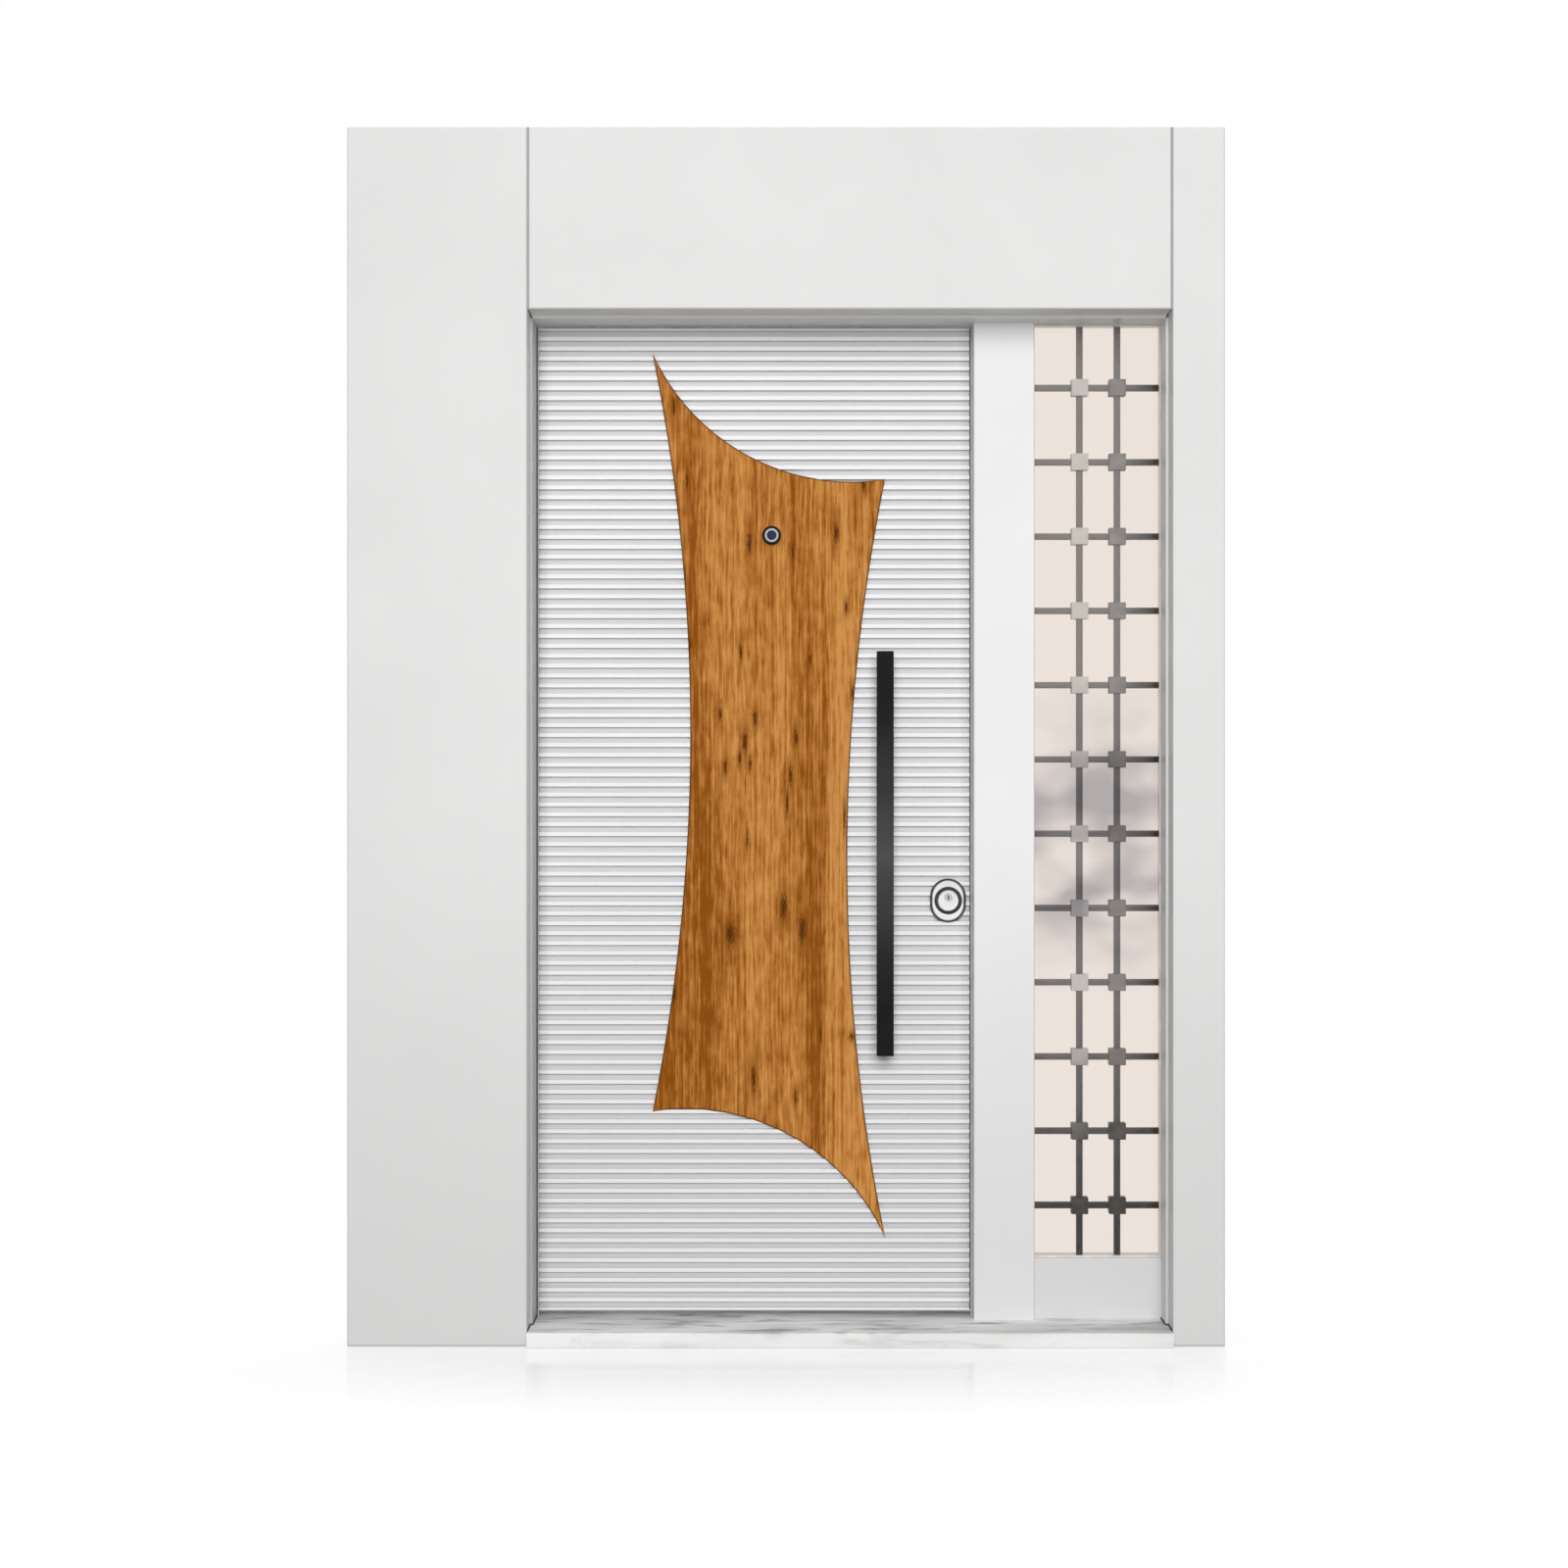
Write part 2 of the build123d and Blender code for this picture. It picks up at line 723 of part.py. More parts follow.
def make_nodes():
    """Every piece of the door set by name."""
    left_x = (facing_left - left_facing_width, facing_left)
    right_x = (facing_right, facing_right + right_facing_width)
    head_x = (facing_left + facing_joint, facing_right - facing_joint)
    beside_frame = front_flange + rail_clearance
    left_rail_x = (left_x[0] + facing_sheet, x_left - beside_frame)
    right_rail_x = (x_right + beside_frame, right_x[1] - facing_sheet)
    side_z = (0, facing_top)
    head_z = (facing_bottom, facing_top)
    nodes = {
        "left_facing": facing_tray(left_x, side_z),
        "right_facing": facing_tray(right_x, side_z),
        "head_facing": facing_tray(head_x, head_z),
        "left_facing_rails": side_rails(left_rail_x),
        "right_facing_rails": side_rails(right_rail_x),
        "head_facing_rails": head_rails(head_x),
        "threshold": threshold(),
        "hinge_jamb": frame_jamb(x_left, -1),
        "sidelight_jamb": frame_jamb(x_right, 1),
        "frame_head": frame_head(),
        "mullion": mullion(),
        "strike_plate": strike_plate(),
        "sidelight_panel": sidelight_panel(),
        "sidelight_glass": sidelight_glass(),
        "glazing_gasket": glazing_strips(gasket_width, (glass_setback - gasket_depth, glass_setback)),
        "glazing_bead": glazing_strips(bead_width, (bead_front, bead_front + bead_depth)),
        "sidelight_grille": sidelight_grille(),
        "frame_seal": frame_seal(),
        "fluted_panel": fluted_panel(),
        "outer_tray": outer_tray(),
        "inner_tray": inner_tray(),
        "inner_panel": inner_panel(),
        "wood_inlay": wood_inlay(),
        "bottom_sweep": bottom_sweep(),
        "lock_faceplate": lock_faceplate(),
        "lock_bolts": lock_bolts(),
        "pull_bar": pull_bar(),
        "pull_standoffs": pull_standoffs(),
        "lock_escutcheon": lock_escutcheon(),
        "lock_collar": lock_collar(),
        "lock_dome": lock_dome(),
        "lock_plug": lock_plug(),
        "viewer_flange": viewer_flange(),
        "viewer_lens": viewer_lens(),
        "viewer_eyepiece": viewer_eyepiece(),
        "handle_plate": handle_plate(),
        "inner_cylinder": inner_cylinder(),
        "inside_lever": inside_lever(),
    }
    for place, height in zip(("lower", "middle", "upper"), hinge_heights):
        nodes[f"{place}_hinge_on_frame"] = hinge_on_frame(height)
        nodes[f"{place}_hinge_on_leaf"] = hinge_on_leaf(height)
    return nodes


def main():
    """Write one file for each piece."""
    os.makedirs("parts", exist_ok=True)
    for name, shape in make_nodes().items():
        export_step(shape, f"parts/{name}.step")


if __name__ == "__main__":
    main()
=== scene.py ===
"""Looks of a steel entrance door with a sidelight: finishes, rounded pieces and a studio.

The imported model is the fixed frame. Each piece made here sits where that model says, in metres, with X to
the right, Y into the house and Z up, and rides on one of the model's bodies.
"""

import logging
import math
from dataclasses import dataclass, field
from enum import Enum
from typing import ClassVar

import bmesh
import bpy
import numpy as np
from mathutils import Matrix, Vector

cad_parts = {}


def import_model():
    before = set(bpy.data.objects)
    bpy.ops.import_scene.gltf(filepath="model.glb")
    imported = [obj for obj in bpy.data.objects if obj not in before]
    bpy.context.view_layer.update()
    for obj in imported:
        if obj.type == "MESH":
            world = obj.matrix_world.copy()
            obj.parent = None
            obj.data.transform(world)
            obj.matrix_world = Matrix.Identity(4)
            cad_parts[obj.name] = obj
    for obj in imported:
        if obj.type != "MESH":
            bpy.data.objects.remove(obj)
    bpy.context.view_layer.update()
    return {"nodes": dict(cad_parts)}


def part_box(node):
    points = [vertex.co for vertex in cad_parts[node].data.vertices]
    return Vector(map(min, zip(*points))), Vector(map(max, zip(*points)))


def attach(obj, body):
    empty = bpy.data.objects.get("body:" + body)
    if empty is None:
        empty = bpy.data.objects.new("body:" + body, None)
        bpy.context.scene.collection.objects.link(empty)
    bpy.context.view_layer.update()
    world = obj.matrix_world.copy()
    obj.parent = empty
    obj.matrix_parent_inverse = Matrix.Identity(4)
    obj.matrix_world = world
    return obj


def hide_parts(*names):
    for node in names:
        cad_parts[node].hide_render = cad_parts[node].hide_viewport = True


LOG = logging.getLogger("entrance_door")
MM = 0.001
CREASE = math.radians(32)
WELD = 0.002 * MM
HAIR = 0.001 * MM
QUADRANTS = np.array([[1, 1], [-1, 1], [-1, -1], [1, -1]])
WHITE = (1.0, 1.0, 1.0)

Array = np.ndarray
Colour = tuple[float, float, float]
Pair = tuple[float, float]
Point = tuple[float, float, float]
Socket = bpy.types.NodeSocket


class Body(Enum):
    """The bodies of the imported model."""

    FRAME = "frame"
    LEAF = "leaf"
    PLUG = "lock_plug"


class Slot(Enum):
    """The record's material slots, one named for each new piece."""

    FACING_PAINT = "facing_paint"
    MARBLE = "marble"
    FRAME_PAINT = "frame_paint"
    LACQUER = "panel_lacquer"
    TIMBER = "timber"
    GLASS = "clear_glass"
    GRILLE = "grille_steel"
    RUBBER = "rubber"
    BLACK = "black_coating"
    CHROME = "polished_chrome"
    STEEL = "satin_steel"


class Axis(Enum):
    """A direction of the frame, as its place in a point."""

    X = 0
    Y = 1
    Z = 2

    @property
    def others(self) -> list[int]:
        """The places of the two other directions."""
        return [place for place in range(3) if place != self.value]

    @property
    def order(self) -> list[int]:
        """Where (across, up, along) go in (x, y, z)."""
        return list(np.argsort(self.others + [self.value]))


@dataclass
class Shape:
    """A closed surface, or several that belong together.

    Attributes:
        points: one row (x, y, z) for each vertex.
        faces: the vertex numbers of each face.
        finish: each face's finish, as a number among those that its piece wears.
        rim: how near each vertex is to the piece's rim, from 0 to 1.
    """

    points: Array
    faces: list[list[int]]
    finish: list[int]
    rim: Array


def sweep(rings: Array, bands: Array | None = None, looped: bool = False, rim: Array | None = None) -> Shape:
    """Skins over rings of equally many points.

    Point k of a ring is joined to point k of the next, so the surface is a function of the place along the
    path and the place round the ring. The first and last rings are filled, unless the path is a loop.

    Args:
        rings: points as (place along, place round, xyz).
        bands: the finish of each quad as (place along, place round); all 0 when left out.
        looped: whether the last ring is joined to the first.
        rim: the rim weight of each ring, or of each point of each ring; all 0 when left out.

    Returns:
        The skin as a shape.
    """
    rows, columns, _ = rings.shape
    number = np.arange(rows * columns).reshape(rows, columns)
    here, there = (number, np.roll(number, -1, axis=0)) if looped else (number[:-1], number[1:])
    quads = np.stack([here, np.roll(here, -1, axis=1), np.roll(there, -1, axis=1), there], axis=-1)
    faces = quads.reshape(-1, 4).tolist()
    finish = np.zeros(here.shape, int) if bands is None else np.broadcast_to(bands, here.shape)
    kinds = finish.ravel().tolist()
    if not looped:
        faces += [number[0][::-1].tolist(), number[-1].tolist()]
        kinds += [int(finish[0, 0]), int(finish[-1, 0])]
    weight = np.zeros((rows, 1)) if rim is None else np.asarray(rim, float).reshape(rows, -1)
    return Shape(rings.reshape(-1, 3), faces, kinds, np.broadcast_to(weight, (rows, columns)).ravel())


def carry(sections: Array, places: Array | list[float], axis: Axis, **settings: Array | bool | None) -> Shape:
    """Skins over flat sections that follow each other along an axis.

    Args:
        sections: points (across, up) of one section for every place, or of a section for each place.
        places: the sections' places along the axis.
        axis: the direction in which they follow each other.
        settings: bands, looped and rim, as sweep takes them.

    Returns:
        The skin as a shape.
    """
    flat = np.broadcast_to(sections, (len(places), *sections.shape[-2:]))
    level = np.broadcast_to(np.reshape(places, (-1, 1, 1)), (*flat.shape[:2], 1))
    return sweep(np.concatenate([flat, level], axis=-1)[..., axis.order], **settings)


def together(shapes: list[Shape]) -> Shape:
    """Puts several shapes into one, each one's vertex numbers moved up by the vertices before it.

    Args:
        shapes: the shapes, in order.

    Returns:
        All of them as one shape.
    """
    starts = np.cumsum([0] + [len(shape.points) for shape in shapes[:-1]])
    faces = [[int(start) + v for v in face] for start, shape in zip(starts, shapes) for face in shape.faces]
    finish = [kind for shape in shapes for kind in shape.finish]
    points = np.concatenate([shape.points for shape in shapes])
    return Shape(points, faces, finish, np.concatenate([shape.rim for shape in shapes]))


def ease(radius: float, steps: int) -> tuple[Array, Array]:
    """A rounded edge's inset e(1 - cos a) and its way to the end e(1 - sin a), over a quarter turn."""
    turn = np.linspace(0, math.pi / 2, steps)
    return radius * (1 - np.cos(turn)), radius * (1 - np.sin(turn))


def circle(steps: int) -> Array:
    """Points (cos t, sin t) round a full turn."""
    angle = np.linspace(0, 2 * math.pi, steps, endpoint=False)
    return np.stack([np.cos(angle), np.sin(angle)], axis=-1)


def smoothstep(value: Array) -> Array:
    """The curve 3t^2 - 2t^3 of a value held between 0 and 1."""
    t = np.clip(value, 0, 1)
    return t * t * (3 - 2 * t)


def eased_block(low: Array | Point, high: Array | Point, axis: Axis, corner: float, eases: Pair,
                steps: int = 6) -> Shape:
    """A block with round corners across an axis and rounded ends along it.

    Each ring is a rectangle with corners of radius (corner - inset), and the inset and place of the rings
    near an end follow a quarter circle.

    Args:
        low: the block's lowest corner.
        high: the block's highest corner.
        axis: the direction along which the rings follow each other.
        corner: the radius of the ring's corners, at least as large as both eases.
        eases: the radius at the low end and at the high end.
        steps: points in a quarter circle.

    Returns:
        The block as a shape.
    """
    low, high = np.array(low, float), np.array(high, float)
    half, middle = (high - low)[axis.others] / 2, ((low + high) / 2)[axis.others]
    quarter = np.arange(4)[:, None] * math.pi / 2
    angle = (quarter + np.linspace(0, math.pi / 2, steps)).ravel()
    spoke = np.stack([np.cos(angle), np.sin(angle)], axis=-1)
    hub = np.repeat(QUADRANTS, steps, axis=0) * (half - corner)
    (first, start), (last, end) = ease(eases[0], steps), ease(eases[1], steps)
    inset = np.concatenate([first[::-1], last])
    along = np.concatenate([low[axis.value] + start[::-1], high[axis.value] - end])
    return carry(middle + hub + np.maximum(corner - inset, HAIR)[:, None, None] * spoke, along, axis)


def lathe(profile: Array, centre: Point, axis: Axis, steps: int = 48, bands: Array | None = None,
          looped: bool = False) -> Shape:
    """A profile turned about an axis: (radius cos t, radius sin t) across and the profile's own place along.

    Args:
        profile: rows of (radius, place along the axis from the centre).
        centre: a point of the axis.
        axis: the direction of the axis.
        steps: points in a full turn.
        bands: the finish of each step of the profile.
        looped: whether the profile is a closed loop round nothing, as in a ring.

    Returns:
        The turned shape.
    """
    radius = np.maximum(profile[:, 0], HAIR)[:, None, None]
    finish = None if bands is None else bands[:, None]
    shape = carry(radius * circle(steps), profile[:, 1], axis, bands=finish, looped=looped)
    shape.points = shape.points + np.array(centre, float)
    return shape


def rounded_profile(start: Pair, corner: Pair, end: Pair, radius: float, steps: int = 6) -> Array:
    """Rounds a profile's corner with the curve (1-t)^2 a + 2t(1-t) c + t^2 b from a to b, near the corner c.

    Args:
        start: the profile's point before the corner.
        corner: the corner itself.
        end: the profile's point after the corner.
        radius: how far from the corner the curve starts and ends.
        steps: points on the curve.

    Returns:
        The points of the curve.
    """
    start, corner, end = (np.asarray(place, float) for place in (start, corner, end))
    leave, reach = (corner + (place - corner) / np.linalg.norm(place - corner) * radius for place in (start, end))
    t = np.linspace(0, 1, steps)[:, None]
    return (1 - t) ** 2 * leave + 2 * t * (1 - t) * corner + t ** 2 * reach


def tube(path: Array, radius: Array, steps: int = 10) -> Shape:
    """A round bead on a level path: circles of the given radii across the path's direction.

    Args:
        path: points (x, y, z) at one height.
        radius: the bead's radius at each point.
        steps: points round the bead.

    Returns:
        The bead as a shape.
    """
    ahead = np.gradient(path, axis=0)
    ahead /= np.linalg.norm(ahead, axis=1, keepdims=True)
    sideways = np.stack([-ahead[:, 1], ahead[:, 0], np.zeros(len(path))], axis=-1)
    spoke = circle(steps)[..., None]
    ring = spoke[:, 0] * sideways[:, None] + spoke[:, 1] * np.array([0.0, 0.0, 1.0])
    return sweep(path[:, None] + radius[:, None, None] * ring)


def framed(low: Array, high: Array, section: Array) -> Shape:
    """A section carried round an upright rectangle, mitred at its corners.

    Each point (inset, depth) of the section becomes the rectangle drawn in by the inset, at that depth.

    Args:
        low: the rectangle's lowest corner, as (x, y, z).
        high: its highest corner.
        section: the closed section's points.

    Returns:
        The frame as a shape.
    """
    corner = np.array([[low[0], low[2]], [high[0], low[2]], [high[0], high[2]], [low[0], high[2]]])
    return carry(corner + section[:, :1, None] * QUADRANTS, section[:, 1], Axis.Y, looped=True)


class Wiring:
    """The nodes of a material or a world, with short ways to add and join them."""

    def __init__(self, owner: bpy.types.Material | bpy.types.World) -> None:
        """Starts the owner's nodes."""
        owner.use_nodes = True
        self.tree = owner.node_tree

    def feed(self, node: bpy.types.Node, values: dict) -> bpy.types.Node:
        """Sets a node's inputs.

        Args:
            node: the node.
            values: for each input's name or number, a socket to join to it, a colour or a number.

        Returns:
            The node.
        """
        for key, value in values.items():
            target = node.inputs[key]
            if isinstance(value, Socket):
                self.tree.links.new(value, target)
            elif target.type == "RGBA":
                target.default_value = (*value, 1.0)
            else:
                target.default_value = value
        return node

    def add(self, kind: str, values: dict | None = None, **settings: str) -> bpy.types.Node:
        """Adds a node.

        Args:
            kind: the node's type, without the words that all of them start with.
            values: its inputs, as feed takes them.
            settings: its own properties.

        Returns:
            The new node.
        """
        node = self.tree.nodes.new("ShaderNode" + kind)
        for key, value in settings.items():
            setattr(node, key, value)
        return self.feed(node, values or {})

    def dress(self, values: dict) -> None:
        """Sets the inputs of the material's own shader."""
        self.feed(self.tree.nodes["Principled BSDF"], values)

    def scaled(self, place: Socket, scale: Point, centre: Point = (0.0, 0.0, 0.0)) -> Socket:
        """A place less a centre, times a scale."""
        shift = tuple(-c * s for c, s in zip(centre, scale))
        return self.add("Mapping", {"Vector": place, "Scale": scale, "Location": shift}).outputs[0]

    def place(self, scale: Point = (1.0, 1.0, 1.0), centre: Point = (0.0, 0.0, 0.0)) -> Socket:
        """The place on the piece, (point - centre) times scale, in metres at scale 1."""
        return self.scaled(self.add("TexCoord").outputs["Object"], scale, centre)

    def part(self, place: Socket, axis: Axis) -> Socket:
        """One coordinate of a place."""
        return self.add("SeparateXYZ", {0: place}).outputs[axis.value]

    def away(self, axis: Axis, middle: float) -> Socket:
        """The distance from a middle along one axis of the piece."""
        return self.calc("ABSOLUTE", self.calc("SUBTRACT", self.part(self.place(), axis), middle))

    def length(self, place: Socket) -> Socket:
        """The distance of a place from the origin."""
        return self.add("VectorMath", {0: place}, operation="LENGTH").outputs["Value"]

    def rim(self) -> Socket:
        """The rim weight that the piece's own mesh holds."""
        return self.add("Attribute", attribute_name="rim").outputs["Fac"]

    def shown(self) -> Socket:
        """1 for rays from the camera, from gloss and through glass, and 0 for plain light."""
        path = self.add("LightPath").outputs
        return self.fold("MAXIMUM", [path["Is Camera Ray"], path["Is Glossy Ray"], path["Is Transmission Ray"]])

    def noise(self, place: Socket, scale: float = 1.0, detail: float = 4.0, distortion: float = 0.0) -> Socket:
        """Cloudy noise about 0.5 at a place."""
        return self.add("TexNoise", {"Vector": place, "Scale": scale, "Detail": detail,
                                     "Distortion": distortion}).outputs[0]

    def calc(self, rule: str, first: Socket | float, second: Socket | float = 0.0) -> Socket:
        """One step of arithmetic on two values."""
        return self.add("Math", {0: first, 1: second}, operation=rule).outputs[0]

    def fold(self, rule: str, values: list[Socket]) -> Socket:
        """One rule of arithmetic over several values.

        Args:
            rule: the rule.
            values: the values, taken from the first to the last.

        Returns:
            The result.
        """
        result = values[0]
        for value in values[1:]:
            result = self.calc(rule, result, value)
        return result

    def span(self, value: Socket, source: Pair, target: Pair) -> Socket:
        """Carries a value from one range to another and holds it there."""
        return self.add("MapRange", dict(enumerate((value, *source, *target)))).outputs[0]

    def vary(self, noise: Socket, low: float, high: float) -> Socket:
        """Carries the range that most noise lies in to another."""
        return self.span(noise, (0.3, 0.7), (low, high))

    def blend(self, share: Socket, first: Socket | Colour, second: Socket | Colour, kind: str = "MIX") -> Socket:
        """Mixes two colours by a share, as paint or by another rule."""
        node = self.add("Mix", data_type="RGBA", blend_type=kind)
        return self.feed(node, {0: share, 6: first, 7: second}).outputs[2]

    def ramp(self, value: Socket, stops: list[tuple[float, Colour]]) -> Socket:
        """A colour for each value.

        Args:
            value: the value.
            stops: at least two of (value, colour), in rising order.

        Returns:
            The colour, between those of the nearest stops.
        """
        node = self.add("ValToRGB", {0: value})
        ends = node.color_ramp.elements
        for end, (position, colour) in zip((ends[0], ends[1]), (stops[0], stops[-1])):
            end.position, end.color = position, (*colour, 1.0)
        for position, colour in stops[1:-1]:
            ends.new(position).color = (*colour, 1.0)
        return node.outputs[0]

    def relief(self, height: Socket, strength: float, depth: float) -> Socket:
        """The surface's slope for a height that varies over it."""
        return self.add("Bump", {"Height": height, "Strength": strength, "Distance": depth}).outputs[0]


def toned(colour: Colour, share: float, lift: float = 0.0) -> Colour:
    """A colour's parts times a share, plus a lift."""
    return tuple(share * part + lift for part in colour)


@dataclass(frozen=True)
class Finish:
    """A finish by name; each kind wires its own nodes."""

    name: str

    def wire(self, wiring: Wiring) -> None:
        """Wires the finish's nodes into a new material."""
        raise NotImplementedError

    def material(self) -> bpy.types.Material:
        """Finds the finish's material, or makes it the first time it is asked for.

        Returns:
            The material.
        """
        found = bpy.data.materials.get(self.name)
        if found is None:
            found = bpy.data.materials.new(self.name)
            self.wire(Wiring(found))
        return found


@dataclass(frozen=True)
class SatinPaint(Finish):
    """Sprayed paint on sheet steel: faint patches, fine peel, and painted shade that darkens it towards the foot."""

    colour: Colour
    roughness: float = 0.42
    foot_shade: float = 0.16
    foot_shade_height: float = 1.1
    patch_share: float = 0.965

    def tint(self, wiring: Wiring) -> Socket:
        """The paint's colour: broad faint patches, then painted shade that deepens towards the foot.

        Args:
            wiring: the material's nodes.

        Returns:
            The colour.
        """
        place = wiring.place()
        patches = wiring.ramp(wiring.noise(place, 2.6, 3.0),
                              [(0.35, toned(self.colour, self.patch_share)), (0.65, self.colour)])
        # painted shade: the colour is drawn darker towards the foot, standing in for light that falls off lower down
        low = wiring.span(wiring.part(place, Axis.Z), (0.0, self.foot_shade_height), (1.0, 0.0))
        return wiring.blend(wiring.calc("POWER", low, 1.1), patches, toned(self.colour, 1 - self.foot_shade))

    def wire(self, wiring: Wiring) -> None:
        """Patches and painted shade towards the foot set the colour, fine noise the peel and the gloss.

        Args:
            wiring: the material's nodes.
        """
        place = wiring.place()
        gloss = wiring.vary(wiring.noise(place, 9.0, 5.0), self.roughness - 0.05, self.roughness + 0.06)
        wiring.dress({"Base Color": self.tint(wiring), "Specular IOR Level": 0.35, "Roughness": gloss,
                      "Normal": wiring.relief(wiring.noise(place, 620.0, 2.0), 0.05, 0.2 * MM)})


@dataclass(frozen=True)
class FluteLacquer(SatinPaint):
    """White lacquer with painted shade: greyer in the hollows of the flutes and at the panel's two ends."""

    # painted shade: a grey for the flutes' hollows, and a grey that the panel's two ends fade to
    hollow: Colour = (0.70, 0.70, 0.71)
    middle: float = -0.191
    reach: Pair = (0.414, 0.438)
    ends: Colour = (0.80, 0.80, 0.805)

    def tint(self, wiring: Wiring) -> Socket:
        """The paint times the hollows' painted shade by the flute's depth, and times the ends' painted shade by the
        way out.

        Args:
            wiring: the material's nodes.

        Returns:
            The colour.
        """
        # painted shade in the hollows, weighted by the flute's depth that the mesh holds as its rim weight
        hollow_shaded = wiring.blend(wiring.rim(), super().tint(wiring), self.hollow, "MULTIPLY")
        # painted shade at the panel's two ends, beside the reveals
        end_shade_share = wiring.span(wiring.away(Axis.X, self.middle), self.reach, (0.0, 1.0))
        return wiring.blend(end_shade_share, hollow_shaded, self.ends, "MULTIPLY")


@dataclass(frozen=True)
class VeinedMarble(Finish):
    """Honed white marble with soft grey veins and clouds, drawn paler on its face than on its top: painted shade on
    the top.
    """

    pale: Colour
    cloud: Colour
    vein: Colour
    top: float
    edge: float = 5.0 * MM
    stretch: Point = (3.4, 15.0, 15.0)
    fine_stretch: Point = (7.0, 30.0, 30.0)

    def wire(self, wiring: Wiring) -> None:
        """A vein lies where warped noise passes 0.5; clouds are broad noise, both drawn out along X.

        Args:
            wiring: the material's nodes.
        """
        place = wiring.place(self.stretch)
        warp = wiring.noise(place, 1.3, 5.0, 0.7)
        ridge = wiring.calc("ABSOLUTE", wiring.calc("SUBTRACT", warp, 0.5))
        breaks = wiring.span(wiring.noise(place, 2.3, 3.0), (0.44, 0.66), (0.0, 1.0))
        veins = wiring.calc("MULTIPLY", wiring.span(ridge, (0.0, 0.10), (1.0, 0.0)), breaks)
        clouds = wiring.span(wiring.noise(place, 0.7, 4.0, 0.5), (0.40, 0.70), (0.0, 1.0))
        # painted shade: clouds and veins are full on the top and fade to three tenths on the face below its edge, so
        # the top reads darker
        top_shade = wiring.span(wiring.part(wiring.place(), Axis.Z), (self.top - self.edge, self.top), (0.3, 1.0))
        ground = wiring.blend(wiring.calc("MULTIPLY", clouds, top_shade), self.pale, self.cloud)
        fine = wiring.noise(wiring.place(self.fine_stretch), 1.0, 7.0, 1.2)
        wiring.dress({"Base Color": wiring.blend(wiring.calc("MULTIPLY", veins, top_shade), ground, self.vein),
                      "Roughness": wiring.vary(warp, 0.34, 0.5), "Normal": wiring.relief(fine, 0.06, 0.3 * MM)})


@dataclass(frozen=True)
class GrainedTimber(Finish):
    """Varnished rustic timber: boards side by side, long and short fibres, pores and knots.

    Attributes:
        fade: the heights between which the boards' tones draw together upwards.
        boards: each joint between boards as (place across, change of tone).
        knots: each knot as (place across, height, half width, half length).
        sway: how far the grain wanders to either side.
    """

    light: Colour
    middle: Colour
    dark: Colour
    knot: Colour
    depth: float
    fade: Pair
    boards: tuple[Pair, ...]
    knots: tuple[tuple[float, float, float, float], ...]
    sway: float = 6.0 * MM

    def wire(self, wiring: Wiring) -> None:
        """One tone runs through the colours from dark to light.

        The tone is the board's own step plus noise drawn out along Z as long fibres, short fibres and flecks,
        and pores pull it down. A knot is a falloff with the distance from its own place.

        Args:
            wiring: the material's nodes.
        """
        wander = wiring.noise(wiring.place((2.2, 2.2, 1.1)), 1.0, 2.0)
        aside = wiring.add("CombineXYZ", {0: wiring.span(wander, (0.0, 1.0), (-self.sway, self.sway))}).outputs[0]
        bent = wiring.add("VectorMath", {0: wiring.place(), 1: aside}, operation="ADD").outputs[0]

        def drawn(across: float, up: float, detail: float) -> Socket:
            """Noise at the wandering place, drawn out along the grain."""
            return wiring.noise(wiring.scaled(bent, (across, across, up)), 1.0, detail)

        short_fibres, pores = drawn(190.0, 13.0, 3.0), drawn(300.0, 22.0, 2.0)
        parts = [wiring.span(drawn(150.0, 1.0, 3.0), (0.0, 1.0), (-0.25, 1.25))]
        for noise, share in ((short_fibres, 0.9), (drawn(22.0, 0.7, 2.0), 0.55), (drawn(55.0, 26.0, 3.0), 0.55)):
            parts.append(wiring.span(noise, (0.0, 1.0), (-share, share)))
        parts.append(wiring.span(pores, (0.60, 0.74), (0.0, -0.5)))
        across_it = wiring.part(bent, Axis.X)
        steps = wiring.fold("ADD", [wiring.span(across_it, (joint - MM, joint + MM), (0.0, change))
                                    for joint, change in self.boards])
        fade = wiring.span(wiring.part(bent, Axis.Z), self.fade, (1.0, 0.12))
        tone = wiring.fold("ADD", parts + [wiring.calc("MULTIPLY", steps, fade)])
        ground = wiring.ramp(tone, [(0.0, self.dark), (0.5, self.middle), (0.95, self.light)])
        nearest = wiring.fold("MINIMUM", [
            wiring.length(wiring.scaled(bent, (1 / width, 0.0, 1 / length), (across, 0.0, height)))
            for across, height, width, length in self.knots])
        ragged = wiring.calc("ADD", nearest, wiring.span(drawn(420.0, 110.0, 3.0), (0.25, 0.75), (-0.55, 0.55)))
        shaded = wiring.blend(wiring.span(ragged, (0.8, 2.8), (0.7, 0.0)), ground, self.dark)
        marked = wiring.blend(wiring.span(ragged, (0.35, 1.15), (0.92, 0.0)), shaded, self.knot)
        # painted shade: along the blade's rounded rim the colour is drawn up to three quarters of the way to the
        # knots' dark colour
        wiring.dress({"Base Color": wiring.blend(wiring.calc("MULTIPLY", wiring.rim(), 0.75), marked, self.knot),
                      "Roughness": wiring.vary(short_fibres, 0.58, 0.42), "Specular IOR Level": 0.06,
                      "Normal": wiring.relief(wiring.calc("SUBTRACT", short_fibres, pores), 0.3, self.depth)})


